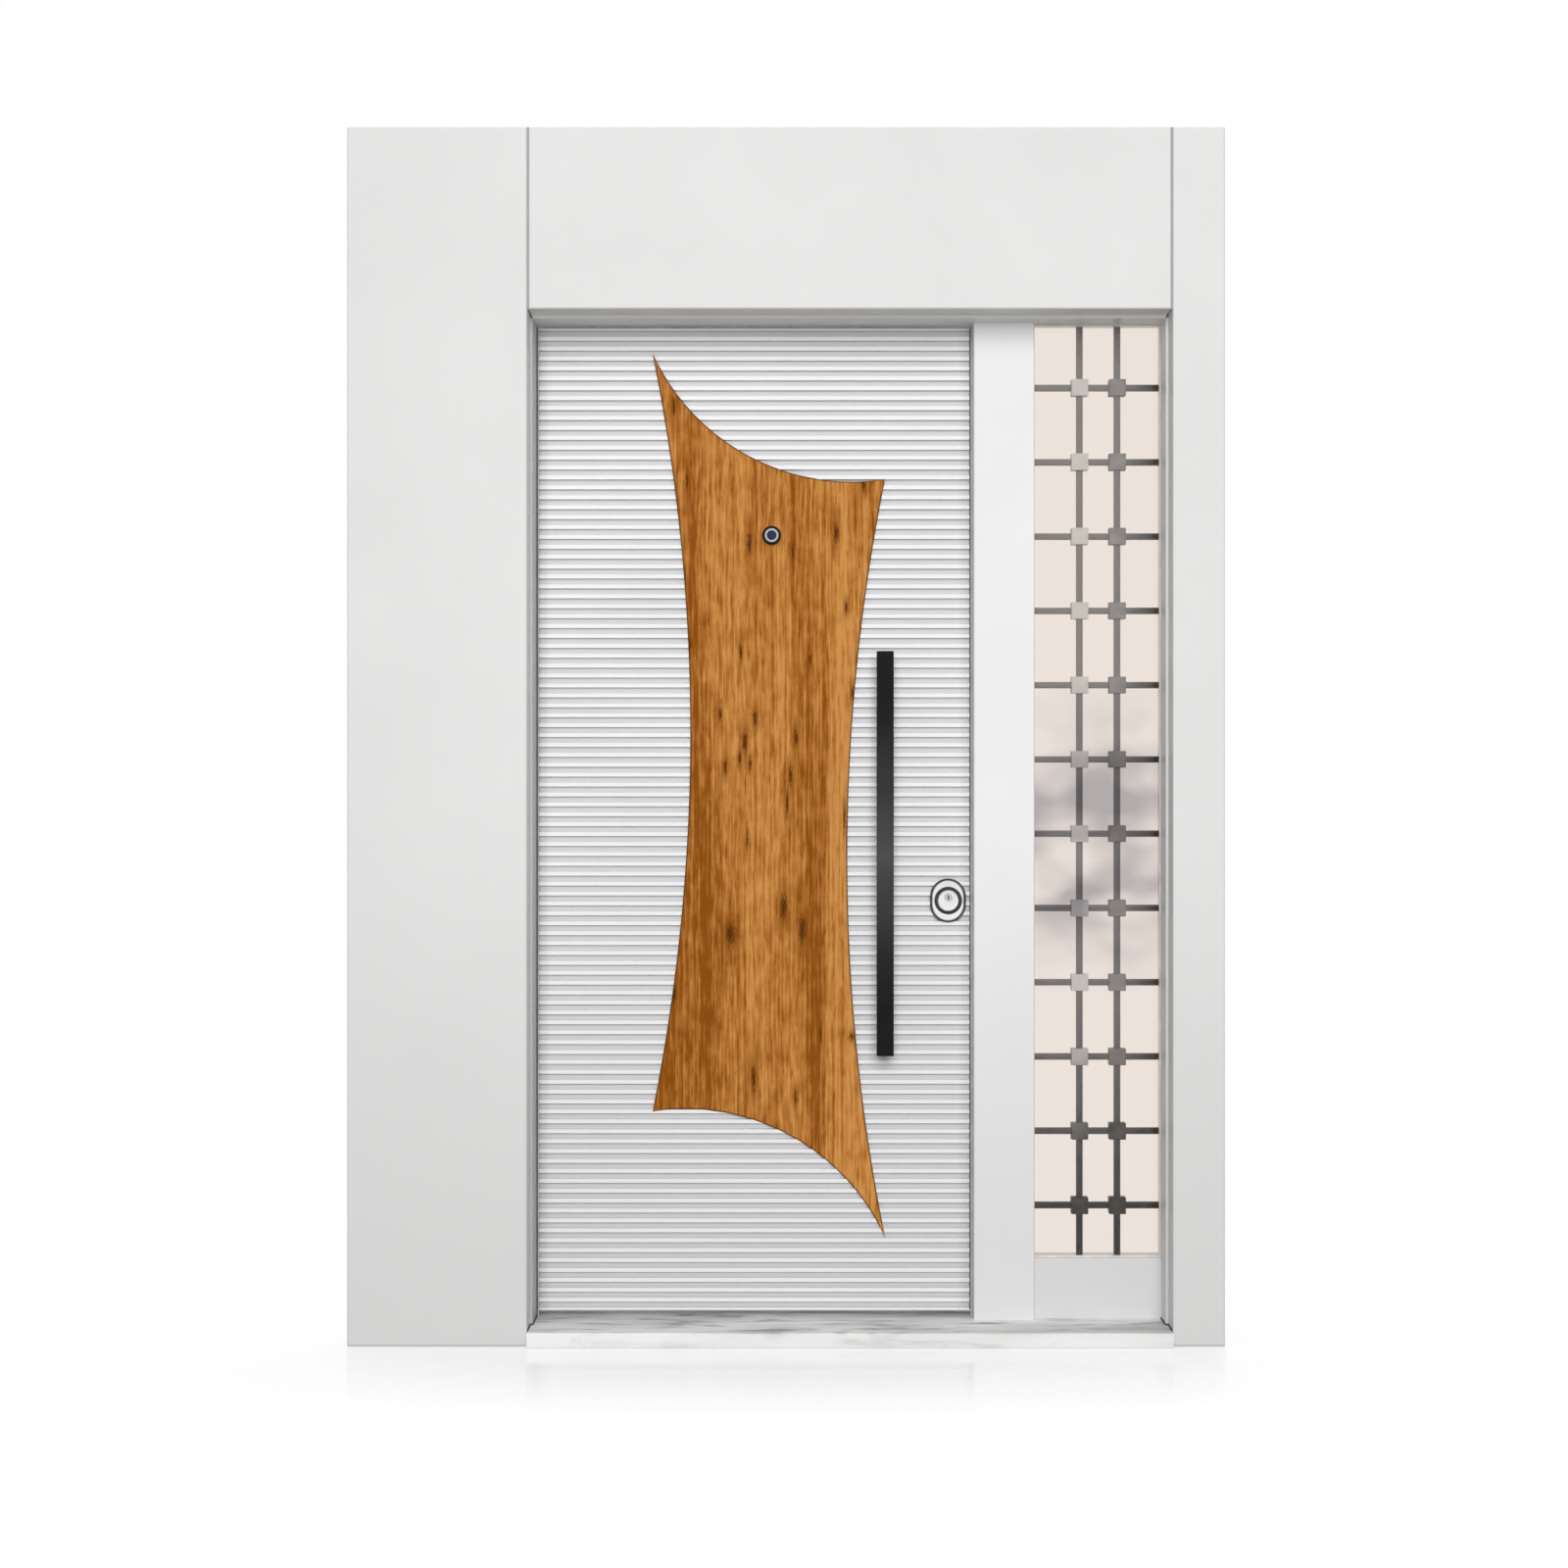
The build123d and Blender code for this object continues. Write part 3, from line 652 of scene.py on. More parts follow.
@dataclass(frozen=True)
class BlackCoating(Finish):
    """Black powder coating with a painted reflection: paler about one height and darker above and below."""

    colour: Colour
    sheen_colour: Colour
    sheen_height: float
    sheen_reach: float
    roughness: float = 0.38

    def wire(self, wiring: Wiring) -> None:
        """The painted reflection falls off with the height above or below its middle; fine noise is the powder's
        texture.

        Args:
            wiring: the material's nodes.
        """
        place = wiring.place()
        smudge = wiring.calc("MULTIPLY", wiring.noise(place, 14.0, 5.0), 0.12)
        away = wiring.calc("ADD", wiring.away(Axis.Z, self.sheen_height), smudge)
        # painted reflection: a soft bright sheen across the black, strongest at one height
        sheen = wiring.calc("POWER", wiring.span(away, (0.02, self.sheen_reach), (1.0, 0.0)), 1.5)
        gloss = wiring.vary(wiring.noise(place, 40.0, 4.0), self.roughness - 0.06, self.roughness + 0.08)
        wiring.dress({"Base Color": wiring.blend(sheen, self.colour, self.sheen_colour),
                      "Specular IOR Level": 0.12, "Roughness": gloss,
                      "Normal": wiring.relief(wiring.noise(place, 1500.0, 2.0), 0.08, 0.1 * MM)})


@dataclass(frozen=True)
class BareMetal(Finish):
    """Metal with fine brushing along one axis and a few dull patches."""

    colour: Colour
    roughness: float
    brushing: float = 0.1
    grain: Axis = Axis.Z
    dull_share: float = 0.86

    def wire(self, wiring: Wiring) -> None:
        """Noise drawn out along the grain gives the brushing, broad noise the dull patches.

        Args:
            wiring: the material's nodes.
        """
        stretch = tuple(30.0 if axis is self.grain else 1400.0 for axis in Axis)
        brushed, patches = wiring.noise(wiring.place(stretch), 1.0, 2.0), wiring.noise(wiring.place(), 18.0, 5.0)
        stops = [(0.34, toned(self.colour, self.dull_share)), (0.62, self.colour)]
        wiring.dress({"Base Color": wiring.ramp(patches, stops), "Metallic": 1.0,
                      "Roughness": wiring.span(wiring.calc("ADD", brushed, patches), (0.7, 1.3),
                                               (0.8 * self.roughness, 1.25 * self.roughness)),
                      "Normal": wiring.relief(brushed, self.brushing, 0.05 * MM)})


@dataclass(frozen=True)
class GrilleCoat(Finish):
    """The grille's hammered coating, with painted reflection and shade: paler to the left and high up, duller to the
    right and at the foot.
    """

    pale: Colour
    dull: Colour
    sides: Pair
    heights: Pair
    side_shade_share: float

    def wire(self, wiring: Wiring) -> None:
        """The colour goes from pale to dull by a share a + b - ab, where a grows with X and b falls with Z.

        Args:
            wiring: the material's nodes.
        """
        place = wiring.place()
        # painted reflection and shade: the coating is drawn towards its dull colour to the right and towards the
        # foot
        aside = wiring.span(wiring.part(place, Axis.X), self.sides, (0.0, self.side_shade_share))
        below = wiring.span(wiring.part(place, Axis.Z), self.heights, (1.0, 0.0))
        both = wiring.calc("SUBTRACT", wiring.calc("ADD", aside, below), wiring.calc("MULTIPLY", aside, below))
        hammer, mottled = wiring.noise(place, 260.0, 3.0), wiring.vary(wiring.noise(place, 45.0, 4.0), -0.06, 0.06)
        wiring.dress({"Base Color": wiring.blend(wiring.calc("ADD", both, mottled), self.pale, self.dull),
                      "Metallic": 0.2, "Specular IOR Level": 0.25, "Roughness": wiring.vary(hammer, 0.36, 0.5),
                      "Normal": wiring.relief(hammer, 0.12, 0.2 * MM)})


@dataclass(frozen=True)
class SheetGlass(Finish):
    """A clear pane, tinted warm, with a painted reflection: a soft duller stripe across its middle."""

    warm: Colour
    reflection_colour: Colour
    reflection_height: float
    reflection_reach: float
    reflection_core: float = 0.35
    stretch: Point = (5.0, 1.0, 8.0)

    def wire(self, wiring: Wiring) -> None:
        """The painted reflection falls off with the height from its middle, broken by noise; light passes the glass
        freely.

        Args:
            wiring: the material's nodes.
        """
        away = wiring.away(Axis.Z, self.reflection_height)
        # painted reflection: the pane's colour is drawn towards a dull colour in a soft stripe about one height
        reflection_share = wiring.span(away, (self.reflection_core * self.reflection_reach, self.reflection_reach), (1.0, 0.0))
        patches = wiring.span(wiring.noise(wiring.place(self.stretch), 1.0, 2.0), (0.38, 0.62), (0.1, 1.0))
        passing = wiring.add("LightPath").outputs["Is Shadow Ray"]
        wiring.dress({"Base Color": wiring.blend(wiring.calc("MULTIPLY", reflection_share, patches), self.warm, self.reflection_colour),
                      "Roughness": 0.0, "IOR": 1.3, "Transmission Weight": 1.0,
                      "Alpha": wiring.calc("SUBTRACT", 1.0, passing)})


@dataclass(frozen=True)
class LensGlass(Finish):
    """The viewer's deep blue-black lens."""

    pale: Colour
    deep: Colour

    def wire(self, wiring: Wiring) -> None:
        """Noise mixes the coating's two colours."""
        bloom = wiring.blend(wiring.noise(wiring.place(), 160.0, 2.0), self.pale, self.deep)
        wiring.dress({"Base Color": bloom, "Roughness": 0.08, "Specular IOR Level": 0.2, "Coat Weight": 0.2,
                      "Coat Roughness": 0.03})


@dataclass(frozen=True)
class Elastic(Finish):
    """Rubber, silicone or sealant: matt, with a slight skin."""

    colour: Colour
    roughness: float

    def wire(self, wiring: Wiring) -> None:
        """Noise sets a faint bloom on the colour, the gloss and the skin's unevenness.

        Args:
            wiring: the material's nodes.
        """
        place = wiring.place()
        stops = [(0.35, toned(self.colour, 0.75, 0.015)), (0.65, self.colour)]
        skin = wiring.noise(place, 240.0, 4.0)
        wiring.dress({"Base Color": wiring.ramp(wiring.noise(place, 30.0, 4.0), stops),
                      "Roughness": wiring.vary(skin, self.roughness - 0.08, self.roughness + 0.1),
                      "Normal": wiring.relief(skin, 0.15, 0.2 * MM)})


# painted shade: every satin paint below is drawn darker towards the foot by its share of shade
FACING_PAINT = SatinPaint("facing_paint_finish", (0.78, 0.777, 0.772))
FRAME_PAINT = SatinPaint("frame_paint_finish", (0.79, 0.785, 0.775))
POST_PAINT = SatinPaint("post_paint_finish", (0.87, 0.865, 0.867), foot_shade=0.22)
# painted shade: the panel under the sidelight wears a darker copy of the white paint, for the shade low in the
# recess
PANEL_SHADE_PAINT = SatinPaint("panel_shade_paint_finish", (0.70, 0.695, 0.695), foot_shade=0.08)
# painted shade: the hinge jamb wears a darker copy of the frame's white paint, for the shade in its reveal
HINGE_JAMB_SHADE = SatinPaint("hinge_jamb_shade_finish", (0.58, 0.575, 0.565))
# painted shade: the V joints beside the head facing wear a darker copy of the facings' paint
JOINT_SHADE_PAINT = SatinPaint("joint_shade_paint_finish", (0.56, 0.555, 0.545))
LACQUER = SatinPaint("lacquer_finish", (0.84, 0.84, 0.845), 0.34, foot_shade=0.12)
FLUTES = FluteLacquer("flute_lacquer_finish", (0.92, 0.915, 0.92), 0.36)
MARBLE = VeinedMarble("marble_finish", (0.85, 0.85, 0.845), (0.52, 0.52, 0.515), (0.20, 0.195, 0.195), 30 * MM)
TIMBER = GrainedTimber(
    "timber_finish", (0.612, 0.277, 0.074), (0.447, 0.173, 0.034), (0.250, 0.072, 0.005), (0.080, 0.023, 0.003),
    depth=0.4 * MM, fade=(1.06, 1.62),
    boards=((-0.900, -0.30), (-0.277, 0.34), (-0.158, -0.08), (-0.078, -0.20), (-0.046, 0.44)),
    knots=((-0.200, 1.597, 0.0053, 0.026), (-0.025, 1.618, 0.0053, 0.024), (0.030, 1.717, 0.0042, 0.015),
           (-0.352, 1.874, 0.0042, 0.018), (-0.325, 1.726, 0.0027, 0.026), (-0.113, 1.580, 0.0027, 0.020),
           (-0.320, 1.393, 0.0042, 0.011), (-0.218, 1.376, 0.0032, 0.020), (-0.079, 1.361, 0.0032, 0.010),
           (-0.005, 1.467, 0.0032, 0.013), (-0.260, 1.250, 0.0037, 0.015), (-0.190, 1.242, 0.0042, 0.016),
           (-0.107, 1.204, 0.0042, 0.020), (-0.211, 1.195, 0.0053, 0.024), (-0.200, 1.151, 0.0032, 0.015),
           (-0.221, 1.161, 0.0032, 0.015), (-0.250, 1.143, 0.0032, 0.018), (-0.118, 1.125, 0.0042, 0.020),
           (0.007, 1.294, 0.0032, 0.013), (-0.124, 1.070, 0.0032, 0.029), (-0.239, 0.805, 0.0116, 0.026),
           (-0.130, 0.859, 0.0084, 0.027), (-0.092, 0.811, 0.0074, 0.034), (-0.193, 0.513, 0.0053, 0.029),
           (-0.354, 0.684, 0.0053, 0.020), (-0.056, 0.603, 0.0027, 0.019), (0.007, 0.597, 0.0042, 0.008),
           (-0.107, 0.472, 0.0032, 0.019), (-0.205, 0.999, 0.0021, 0.024), (-0.008, 1.043, 0.0021, 0.024)))
BLACK = BlackCoating("black_coating_finish", (0.006, 0.006, 0.006), (0.078, 0.078, 0.078), 0.97, 0.37)
CHROME = BareMetal("chrome_finish", (0.86, 0.865, 0.87), 0.12, 0.02)
BEZEL = BareMetal("bezel_finish", (0.52, 0.545, 0.58), 0.3, 0.02)
STEEL = BareMetal("satin_steel_finish", (0.60, 0.60, 0.59), 0.28)
HINGE_STEEL = BareMetal("hinge_steel_finish", (0.52, 0.52, 0.52), 0.32)
GALVANISED = BareMetal("galvanised_finish", (0.56, 0.57, 0.58), 0.46, 0.05, Axis.X)
# painted reflection and shade: the bars' coating is drawn pale to the left and high up, dull to the right and low
# down
BAR_FLAT = GrilleCoat("grille_bar_finish", (0.235, 0.245, 0.258), (0.029, 0.030, 0.031),
                      (0.555, 0.63), (0.24, 0.85), 1.0)
# painted highlight: the bars' chamfers wear a paler copy of their coating
BAR_EDGE_HIGHLIGHT = GrilleCoat("grille_edge_highlight_finish", (0.30, 0.31, 0.325), (0.05, 0.052, 0.054),
                      (0.555, 0.64), (0.24, 0.85), 1.0)
# painted reflection: the knots wear a far paler copy of the bars' coating, palest in the left column and high up
KNOT_REFLECTION_COAT = GrilleCoat("grille_knot_reflection_finish", (0.62, 0.655, 0.68), (0.034, 0.035, 0.036),
                       (0.50, 0.525), (0.36, 0.66), 0.58)
GLASS = SheetGlass("pane_finish", (0.838, 0.760, 0.701), (0.44, 0.40, 0.40), 1.0, 0.32)
LENS = LensGlass("lens_finish", (0.02, 0.035, 0.10), (0.004, 0.005, 0.012))
PALE_SILICONE = Elastic("pale_silicone_finish", (0.80, 0.79, 0.77), 0.5)
GREY_SILICONE = Elastic("grey_silicone_finish", (0.58, 0.58, 0.57), 0.6)
RUBBER = Elastic("rubber_finish", (0.03, 0.03, 0.03), 0.65)
SEALANT = Elastic("sealant_finish", (0.018, 0.017, 0.016), 0.45)


def link(thing: bpy.types.Object) -> None:
    """Puts an object into the scene."""
    bpy.context.scene.collection.objects.link(thing)


def make_piece(name: str, shapes: list[Shape], finishes: list[Finish], body: Body, slot: Slot,
               *stands_for: str) -> None:
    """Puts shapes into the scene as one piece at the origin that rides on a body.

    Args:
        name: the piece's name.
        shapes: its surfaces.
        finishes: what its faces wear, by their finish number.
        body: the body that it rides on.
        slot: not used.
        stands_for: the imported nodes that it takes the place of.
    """
    shape = together(shapes)
    mesh = bpy.data.meshes.new(name)
    mesh.from_pydata(shape.points.tolist(), [], shape.faces)
    mesh.attributes.new("rim", "FLOAT", "POINT").data.foreach_set("value", shape.rim.astype(np.float32))
    mesh.polygons.foreach_set("material_index", np.array(shape.finish, np.int32))
    for finish in finishes:
        mesh.materials.append(finish.material())
    work = bmesh.new()
    work.from_mesh(mesh)
    bmesh.ops.remove_doubles(work, verts=work.verts, dist=WELD)
    bmesh.ops.recalc_face_normals(work, faces=work.faces)
    work.to_mesh(mesh)
    work.free()
    mesh.polygons.foreach_set("use_smooth", np.ones(len(mesh.polygons), bool))
    mesh.set_sharp_from_angle(angle=CREASE)
    piece = bpy.data.objects.new(name, mesh)
    link(piece)
    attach(piece, body.value)
    if stands_for:
        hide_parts(*stands_for)
    LOG.info("%s: %d faces on %s", name, len(mesh.polygons), body.value)


def corners(node: str) -> tuple[Array, Array]:
    """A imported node's lowest and highest corners as arrays."""
    low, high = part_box(node)
    return np.array(low), np.array(high)


@dataclass
class Assembly:
    """A sub-assembly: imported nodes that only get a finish, and pieces of its own.

    Attributes:
        wears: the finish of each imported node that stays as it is.
    """

    wears: ClassVar[dict[str, Finish]] = {}

    def dress(self, nodes: dict[str, bpy.types.Object]) -> None:
        """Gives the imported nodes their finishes.

        Args:
            nodes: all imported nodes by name.
        """
        for name, finish in self.wears.items():
            materials = nodes[name].data.materials
            materials.clear()
            materials.append(finish.material())
            LOG.info("%s: %s", name, finish.name)

    def build(self) -> None:
        """Makes the assembly's own pieces."""
        raise NotImplementedError


@dataclass
class Facings(Assembly):
    """The folded facings round the doorway, and the galvanised rails that hold them to the wall."""

    joint_shoulder: float = 0.9 * MM
    joint_depth: float = 3.2 * MM
    joint_back: float = 8.0 * MM
    wears = {f"{side}_facing{part}": finish for side in ("left", "right", "head")
             for part, finish in (("", FACING_PAINT), ("_rails", GALVANISED))}

    def build(self) -> None:
        """Fills both joints beside the head facing with a V, a section carried up the joint."""
        low, high = corners("head_facing")
        shoulder, back = self.joint_shoulder, self.joint_back
        depth = low[1] + np.array([shoulder, self.joint_depth, shoulder, back, back])
        joints = []
        for start, end in ((corners("left_facing")[1][0], low[0]), (high[0], corners("right_facing")[0][0])):
            across = np.array([start, (start + end) / 2, end, end, start])
            joints.append(carry(np.stack([across, depth], axis=-1), [low[2], high[2]], Axis.Z))
        # the joints' darker grey is painted shade in the grooves
        make_piece("facing_joints", joints, [JOINT_SHADE_PAINT], Body.FRAME, Slot.FACING_PAINT)


@dataclass
class SteelFrame(Assembly):
    """The folded frame, its post, its seal, and the sealant at its feet."""

    bead: float = 2.6 * MM
    bead_step: float = 4.0 * MM
    bead_points: int = 3
    bead_stop: float = 8.0 * MM
    bead_turn: float = 4.0 * MM
    bead_waver: float = 0.03
    bead_window: int = 9
    bead_limits: Pair = (0.7, 1.4)
    bead_seed: int = 11
    lip_gap: float = 1.2 * MM
    lip_start: float = 2.0 * MM
    lip_touch: float = 0.4 * MM
    lip_back: float = 12.0 * MM
    post_lip: float = 3.6 * MM
    notch_width: float = 3.6 * MM
    notch_rise: float = 0.3 * MM
    notch_taper: float = 0.6
    # the hinge jamb's darker paint is painted shade
    wears = {"sidelight_jamb": FRAME_PAINT, "frame_head": FRAME_PAINT, "hinge_jamb": HINGE_JAMB_SHADE,
             "mullion": POST_PAINT, "frame_seal": RUBBER, "strike_plate": STEEL}

    def build(self) -> None:
        """Lays the sealant at both feet, the lips beside the leaf and painted shade in the open mitres at both top
        corners.

        A bead's radius wavers by random numbers, added up over a window that moves along it.
        """
        _, (right, _, head) = corners("glazing_bead")
        slab_top, top = corners("threshold")[1][2], corners("head_facing")[0][2]
        front = corners("left_facing")[0][1] + self.bead_stop
        sides = ((-right, corners("left_facing")[1][0]), (right, corners("right_facing")[0][0]))
        chance, window = np.random.default_rng(self.bead_seed), np.full(self.bead_window, self.bead_waver)
        beads = []
        for (reveal, facing), panel in zip(sides, ("fluted_panel", "sidelight_panel")):
            path = self.bead_path(reveal, facing, (corners(panel)[0][1], front), slab_top)
            waver = 1 + np.convolve(chance.normal(size=len(path)), window, "same")
            beads.append(tube(path, self.bead * np.clip(waver, *self.bead_limits)))
        make_piece("jamb_sealant", beads, [SEALANT], Body.FRAME, Slot.RUBBER)
        self.build_lips(-right, head, slab_top)
        # painted shade: black slivers stand for the shade inside the open mitres
        mitres = [self.mitre(np.array([reveal, head]), np.array([facing, top])) for reveal, facing in sides]
        make_piece("mitre_gaps", mitres, [SEALANT], Body.FRAME, Slot.RUBBER)

    def bead_path(self, reveal: float, facing: float, depths: Pair, height: float) -> Array:
        """The bead's line along a jamb's foot: down the reveal, across the step, then along the facing.

        Args:
            reveal: where the jamb's reveal is across the door.
            facing: where the facing's side is across the door.
            depths: how far into the house the bead starts and ends.
            height: the height of the slab.

        Returns:
            Points of the line, a smooth step from the reveal to the facing round the wall's face.
        """
        back, front = depths
        depth = np.linspace(back, front, int((back - front) / self.bead_step) * self.bead_points)
        share = smoothstep((self.bead_turn - depth) / (2 * self.bead_turn))
        return np.stack([reveal + (facing - reveal) * share, depth, np.full(depth.shape, height)], axis=-1)

    def build_lips(self, left: float, head: float, foot: float) -> None:
        """Makes the seal's soft lips in the gaps beside and above the leaf: blocks with rounded fronts.

        Args:
            left: the hinge side's reveal across the door.
            head: the height of the frame's head.
            foot: the height of the slab.
        """
        low, high = corners("fluted_panel")
        post = corners("mullion")[0][0]
        front, back = low[1] + self.lip_gap, low[1] + self.lip_back
        blocks = (((left + self.lip_start, front, foot), (low[0] - self.lip_touch, back, head), Axis.Z),
                  ((post - self.post_lip, front, foot), (post, back, head), Axis.Z),
                  ((left, front, high[2] + self.lip_gap), (post, back, head), Axis.X))
        lips = [eased_block(*block, self.lip_gap, (0.0, 0.0)) for block in blocks]
        make_piece("gap_lips", lips, [GREY_SILICONE], Body.FRAME, Slot.RUBBER)

    def mitre(self, start: Array, end: Array) -> Shape:
        """A dark sliver of painted shade along an open mitre: a thin wedge from the reveal's corner to the facing's.

        Args:
            start: the reveal's corner as (across, up).
            end: the facing's corner.

        Returns:
            The sliver as a shape.
        """
        run = (end - start) / np.linalg.norm(end - start)
        aside = np.array([-run[1], run[0]]) * self.notch_width / 2
        narrow = aside * self.notch_taper
        section = np.array([start + narrow, end + aside, end - aside, start - narrow])
        return carry(section, [0.0, -self.notch_rise], Axis.Y)


@dataclass
class Threshold(Assembly):
    """The marble slab: wide under the frame, narrower between the facings, with an eased front edge."""

    top_ease: float = 4.0 * MM
    top_steps: int = 7
    foot_ease: float = 0.6 * MM
    wall_face: float = 0.0
    front_half: float = 636.5 * MM
    back_half: float = 676.0 * MM

    def build(self) -> None:
        """Carries the slab's outline, widening at the wall's face, through heights eased at its top."""
        low, high = corners("threshold")
        inset, way = ease(self.top_ease, self.top_steps)
        inset = np.concatenate([[self.foot_ease, 0.0], inset])
        height = np.concatenate([[low[2], low[2] + self.foot_ease], high[2] - way])
        corner = np.array([[self.front_half, low[1]], [self.front_half, self.wall_face],
                           [self.back_half, self.wall_face], [self.back_half, high[1]]])
        inward = np.array([[-1.0, 1.0], [-1.0, 1.0], [-1.0, 1.0], [-1.0, -1.0]])
        right = corner + inset[:, None, None] * inward
        outline = np.concatenate([right, right[:, ::-1] * np.array([-1.0, 1.0])], axis=1)
        make_piece("marble_threshold", [carry(outline, height, Axis.Z)], [MARBLE], Body.FRAME, Slot.MARBLE,
                   "threshold")


@dataclass
class Sidelight(Assembly):
    """The pane with its strips, the panel under it, and the grille of square bars behind."""

    bar: float = 13.0 * MM
    bar_chamfer: float = 3.0 * MM
    knot: float = 34.0 * MM
    knot_corner: float = 1.3 * MM
    knot_ease: float = 1.2 * MM
    knot_steps: int = 4
    level_pitch: float = 151.0 * MM
    first_level: float = 253.0 * MM
    levels: int = 12
    uprights: Pair = (470.5 * MM, 547.0 * MM)
    lip: float = 2.4 * MM
    lip_ease: float = 0.8 * MM
    stop: float = 2.0 * MM
    wears = {"sidelight_glass": GLASS, "sidelight_panel": PANEL_SHADE_PAINT}

    def bars(self, axis: Axis, low: Array, high: Array, places: Array | Pair) -> list[Shape]:
        """Square bars with chamfered corners, an octagon carried along an axis, flats and chamfers apart.

        Args:
            axis: the direction of the bars.
            low: the grille's lowest corner.
            high: the grille's highest corner.
            places: the bars' places along the other direction of the grille.

        Returns:
            The bars, flats in finish 0 and chamfers in finish 1.
        """
        half, cut = self.bar / 2, self.bar / 2 - self.bar_chamfer
        deep = (low[1] + high[1]) / 2
        octagon = np.array([[half, -cut], [half, cut], [cut, half], [-cut, half],
                            [-half, cut], [-half, -cut], [-cut, -half], [cut, -half]])
        middles = [np.array([place, deep] if axis is Axis.Z else [deep, place]) for place in places]
        ends = [low[axis.value], high[axis.value]]
        return [carry(octagon + middle, ends, axis, bands=np.tile([0, 1], 4)[None]) for middle in middles]

    def build(self) -> None:
        """Makes the strips round the pane, the bars, and a bevelled cube knot at each crossing."""
        low, high = corners("glazing_gasket")
        lip = np.array([[0.0, high[1]], [0.0, low[1]], [self.lip - self.lip_ease, low[1]],
                        [self.lip, low[1] + self.lip_ease], [self.lip, high[1]]])
        make_piece("glazing_lips", [framed(low, high, lip)], [PALE_SILICONE], Body.FRAME, Slot.RUBBER,
                   "glazing_gasket")
        low, high = corners("glazing_bead")
        stop = np.array([[0.0, low[1]], [self.stop, low[1]], [self.stop, high[1] - self.stop / 2],
                         [self.stop / 2, high[1]], [0.0, high[1]]])
        make_piece("glazing_stops", [framed(low, high, stop)], [POST_PAINT], Body.FRAME, Slot.FRAME_PAINT,
                   "glazing_bead")
        low, high = corners("sidelight_grille")
        heights = self.first_level + self.level_pitch * np.arange(self.levels)
        bars = self.bars(Axis.X, low, high, heights) + self.bars(Axis.Z, low, high, self.uprights)
        # the chamfers' paler coating is a painted highlight
        make_piece("grille_bars", bars, [BAR_FLAT, BAR_EDGE_HIGHLIGHT], Body.FRAME, Slot.GRILLE, "sidelight_grille")
        half, eases = self.knot / 2, (self.knot_ease, self.knot_ease)
        knots = [eased_block((x - half, low[1], z - half), (x + half, high[1], z + half), Axis.Y,
                             self.knot_corner, eases, self.knot_steps) for x in self.uprights for z in heights]
        # the knots' pale coating is a painted reflection
        make_piece("grille_knots", knots, [KNOT_REFLECTION_COAT], Body.FRAME, Slot.GRILLE)


@dataclass
class BladeOutline:
    """The timber blade's outline: hollow arcs from tip to shoulder to lower tip to lower shoulder.

    Places are measured across and up from the blade's middle. The lower half is the upper half turned
    half round.
    """

    shoulder_rise: float = 641.0 * MM
    side_hollow: float = 76.6 * MM
    end_hollow: float = 89.6 * MM
    steps: int = 96
    middle: Array = field(init=False)
    tip: Array = field(init=False)
    shoulder: Array = field(init=False)

    def __post_init__(self) -> None:
        """Reads the blade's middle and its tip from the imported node."""
        low, high = corners("wood_inlay")
        self.middle = ((low + high) / 2)[[0, 2]]
        half = ((high - low) / 2)[[0, 2]]
        self.tip = half * np.array([-1.0, 1.0])
        self.shoulder = np.array([half[0], self.shoulder_rise])

    def arc(self, start: Array, end: Array, hollow: float) -> Array:
        """The circle through two corners that sags towards the blade's middle.

        With chord c and sag s the radius is (c^2/4 + s^2) / 2s, and the points are the circle's centre plus
        the radius times (sin a along the chord + cos a inwards).

        Args:
            start: the first corner.
            end: the last corner.
            hollow: the sag.

        Returns:
            Points of the arc.
        """
        chord = end - start
        length = np.linalg.norm(chord)
        along = chord / length
        inward = np.array([-along[1], along[0]])
        inward *= -np.sign(inward @ (start + end))
        radius = (length ** 2 / 4 + hollow ** 2) / (2 * hollow)
        reach = math.asin(length / 2 / radius)
        angle = np.linspace(-reach, reach, self.steps)[:, None]
        centre = (start + end) / 2 + inward * (hollow - radius)
        return centre + radius * (np.sin(angle) * along + np.cos(angle) * inward)

    def upper_end(self) -> Array:
        """The upper end's arc, from the tip to the shoulder."""
        return self.arc(self.tip, self.shoulder, self.end_hollow)

    def ring(self) -> Array:
        """The whole outline, clockwise, as (across, up) in the door's frame."""
        upper = np.concatenate([self.upper_end()[:-1], self.arc(self.shoulder, -self.tip, self.side_hollow)[:-1]])
        return np.concatenate([upper, -upper]) + self.middle

    def turning(self) -> float:
        """The height of the upper arc's lowest point above the middle."""
        return float(self.upper_end()[:, 1].min())

    def right_edge(self, height: Array) -> Array:
        """How far right the blade reaches: its side's arc, then the falling part of its upper end's.

        Args:
            height: heights measured from the blade's middle.

        Returns:
            The reach at each height.
        """
        side, end = self.arc(-self.tip, self.shoulder, self.side_hollow), self.upper_end()
        fall = end[:int(end[:, 1].argmin()) + 1][::-1]
        return np.where(height < self.turning(), np.interp(height, side[:, 1], side[:, 0]),
                        np.interp(height, fall[:, 1], fall[:, 0]))


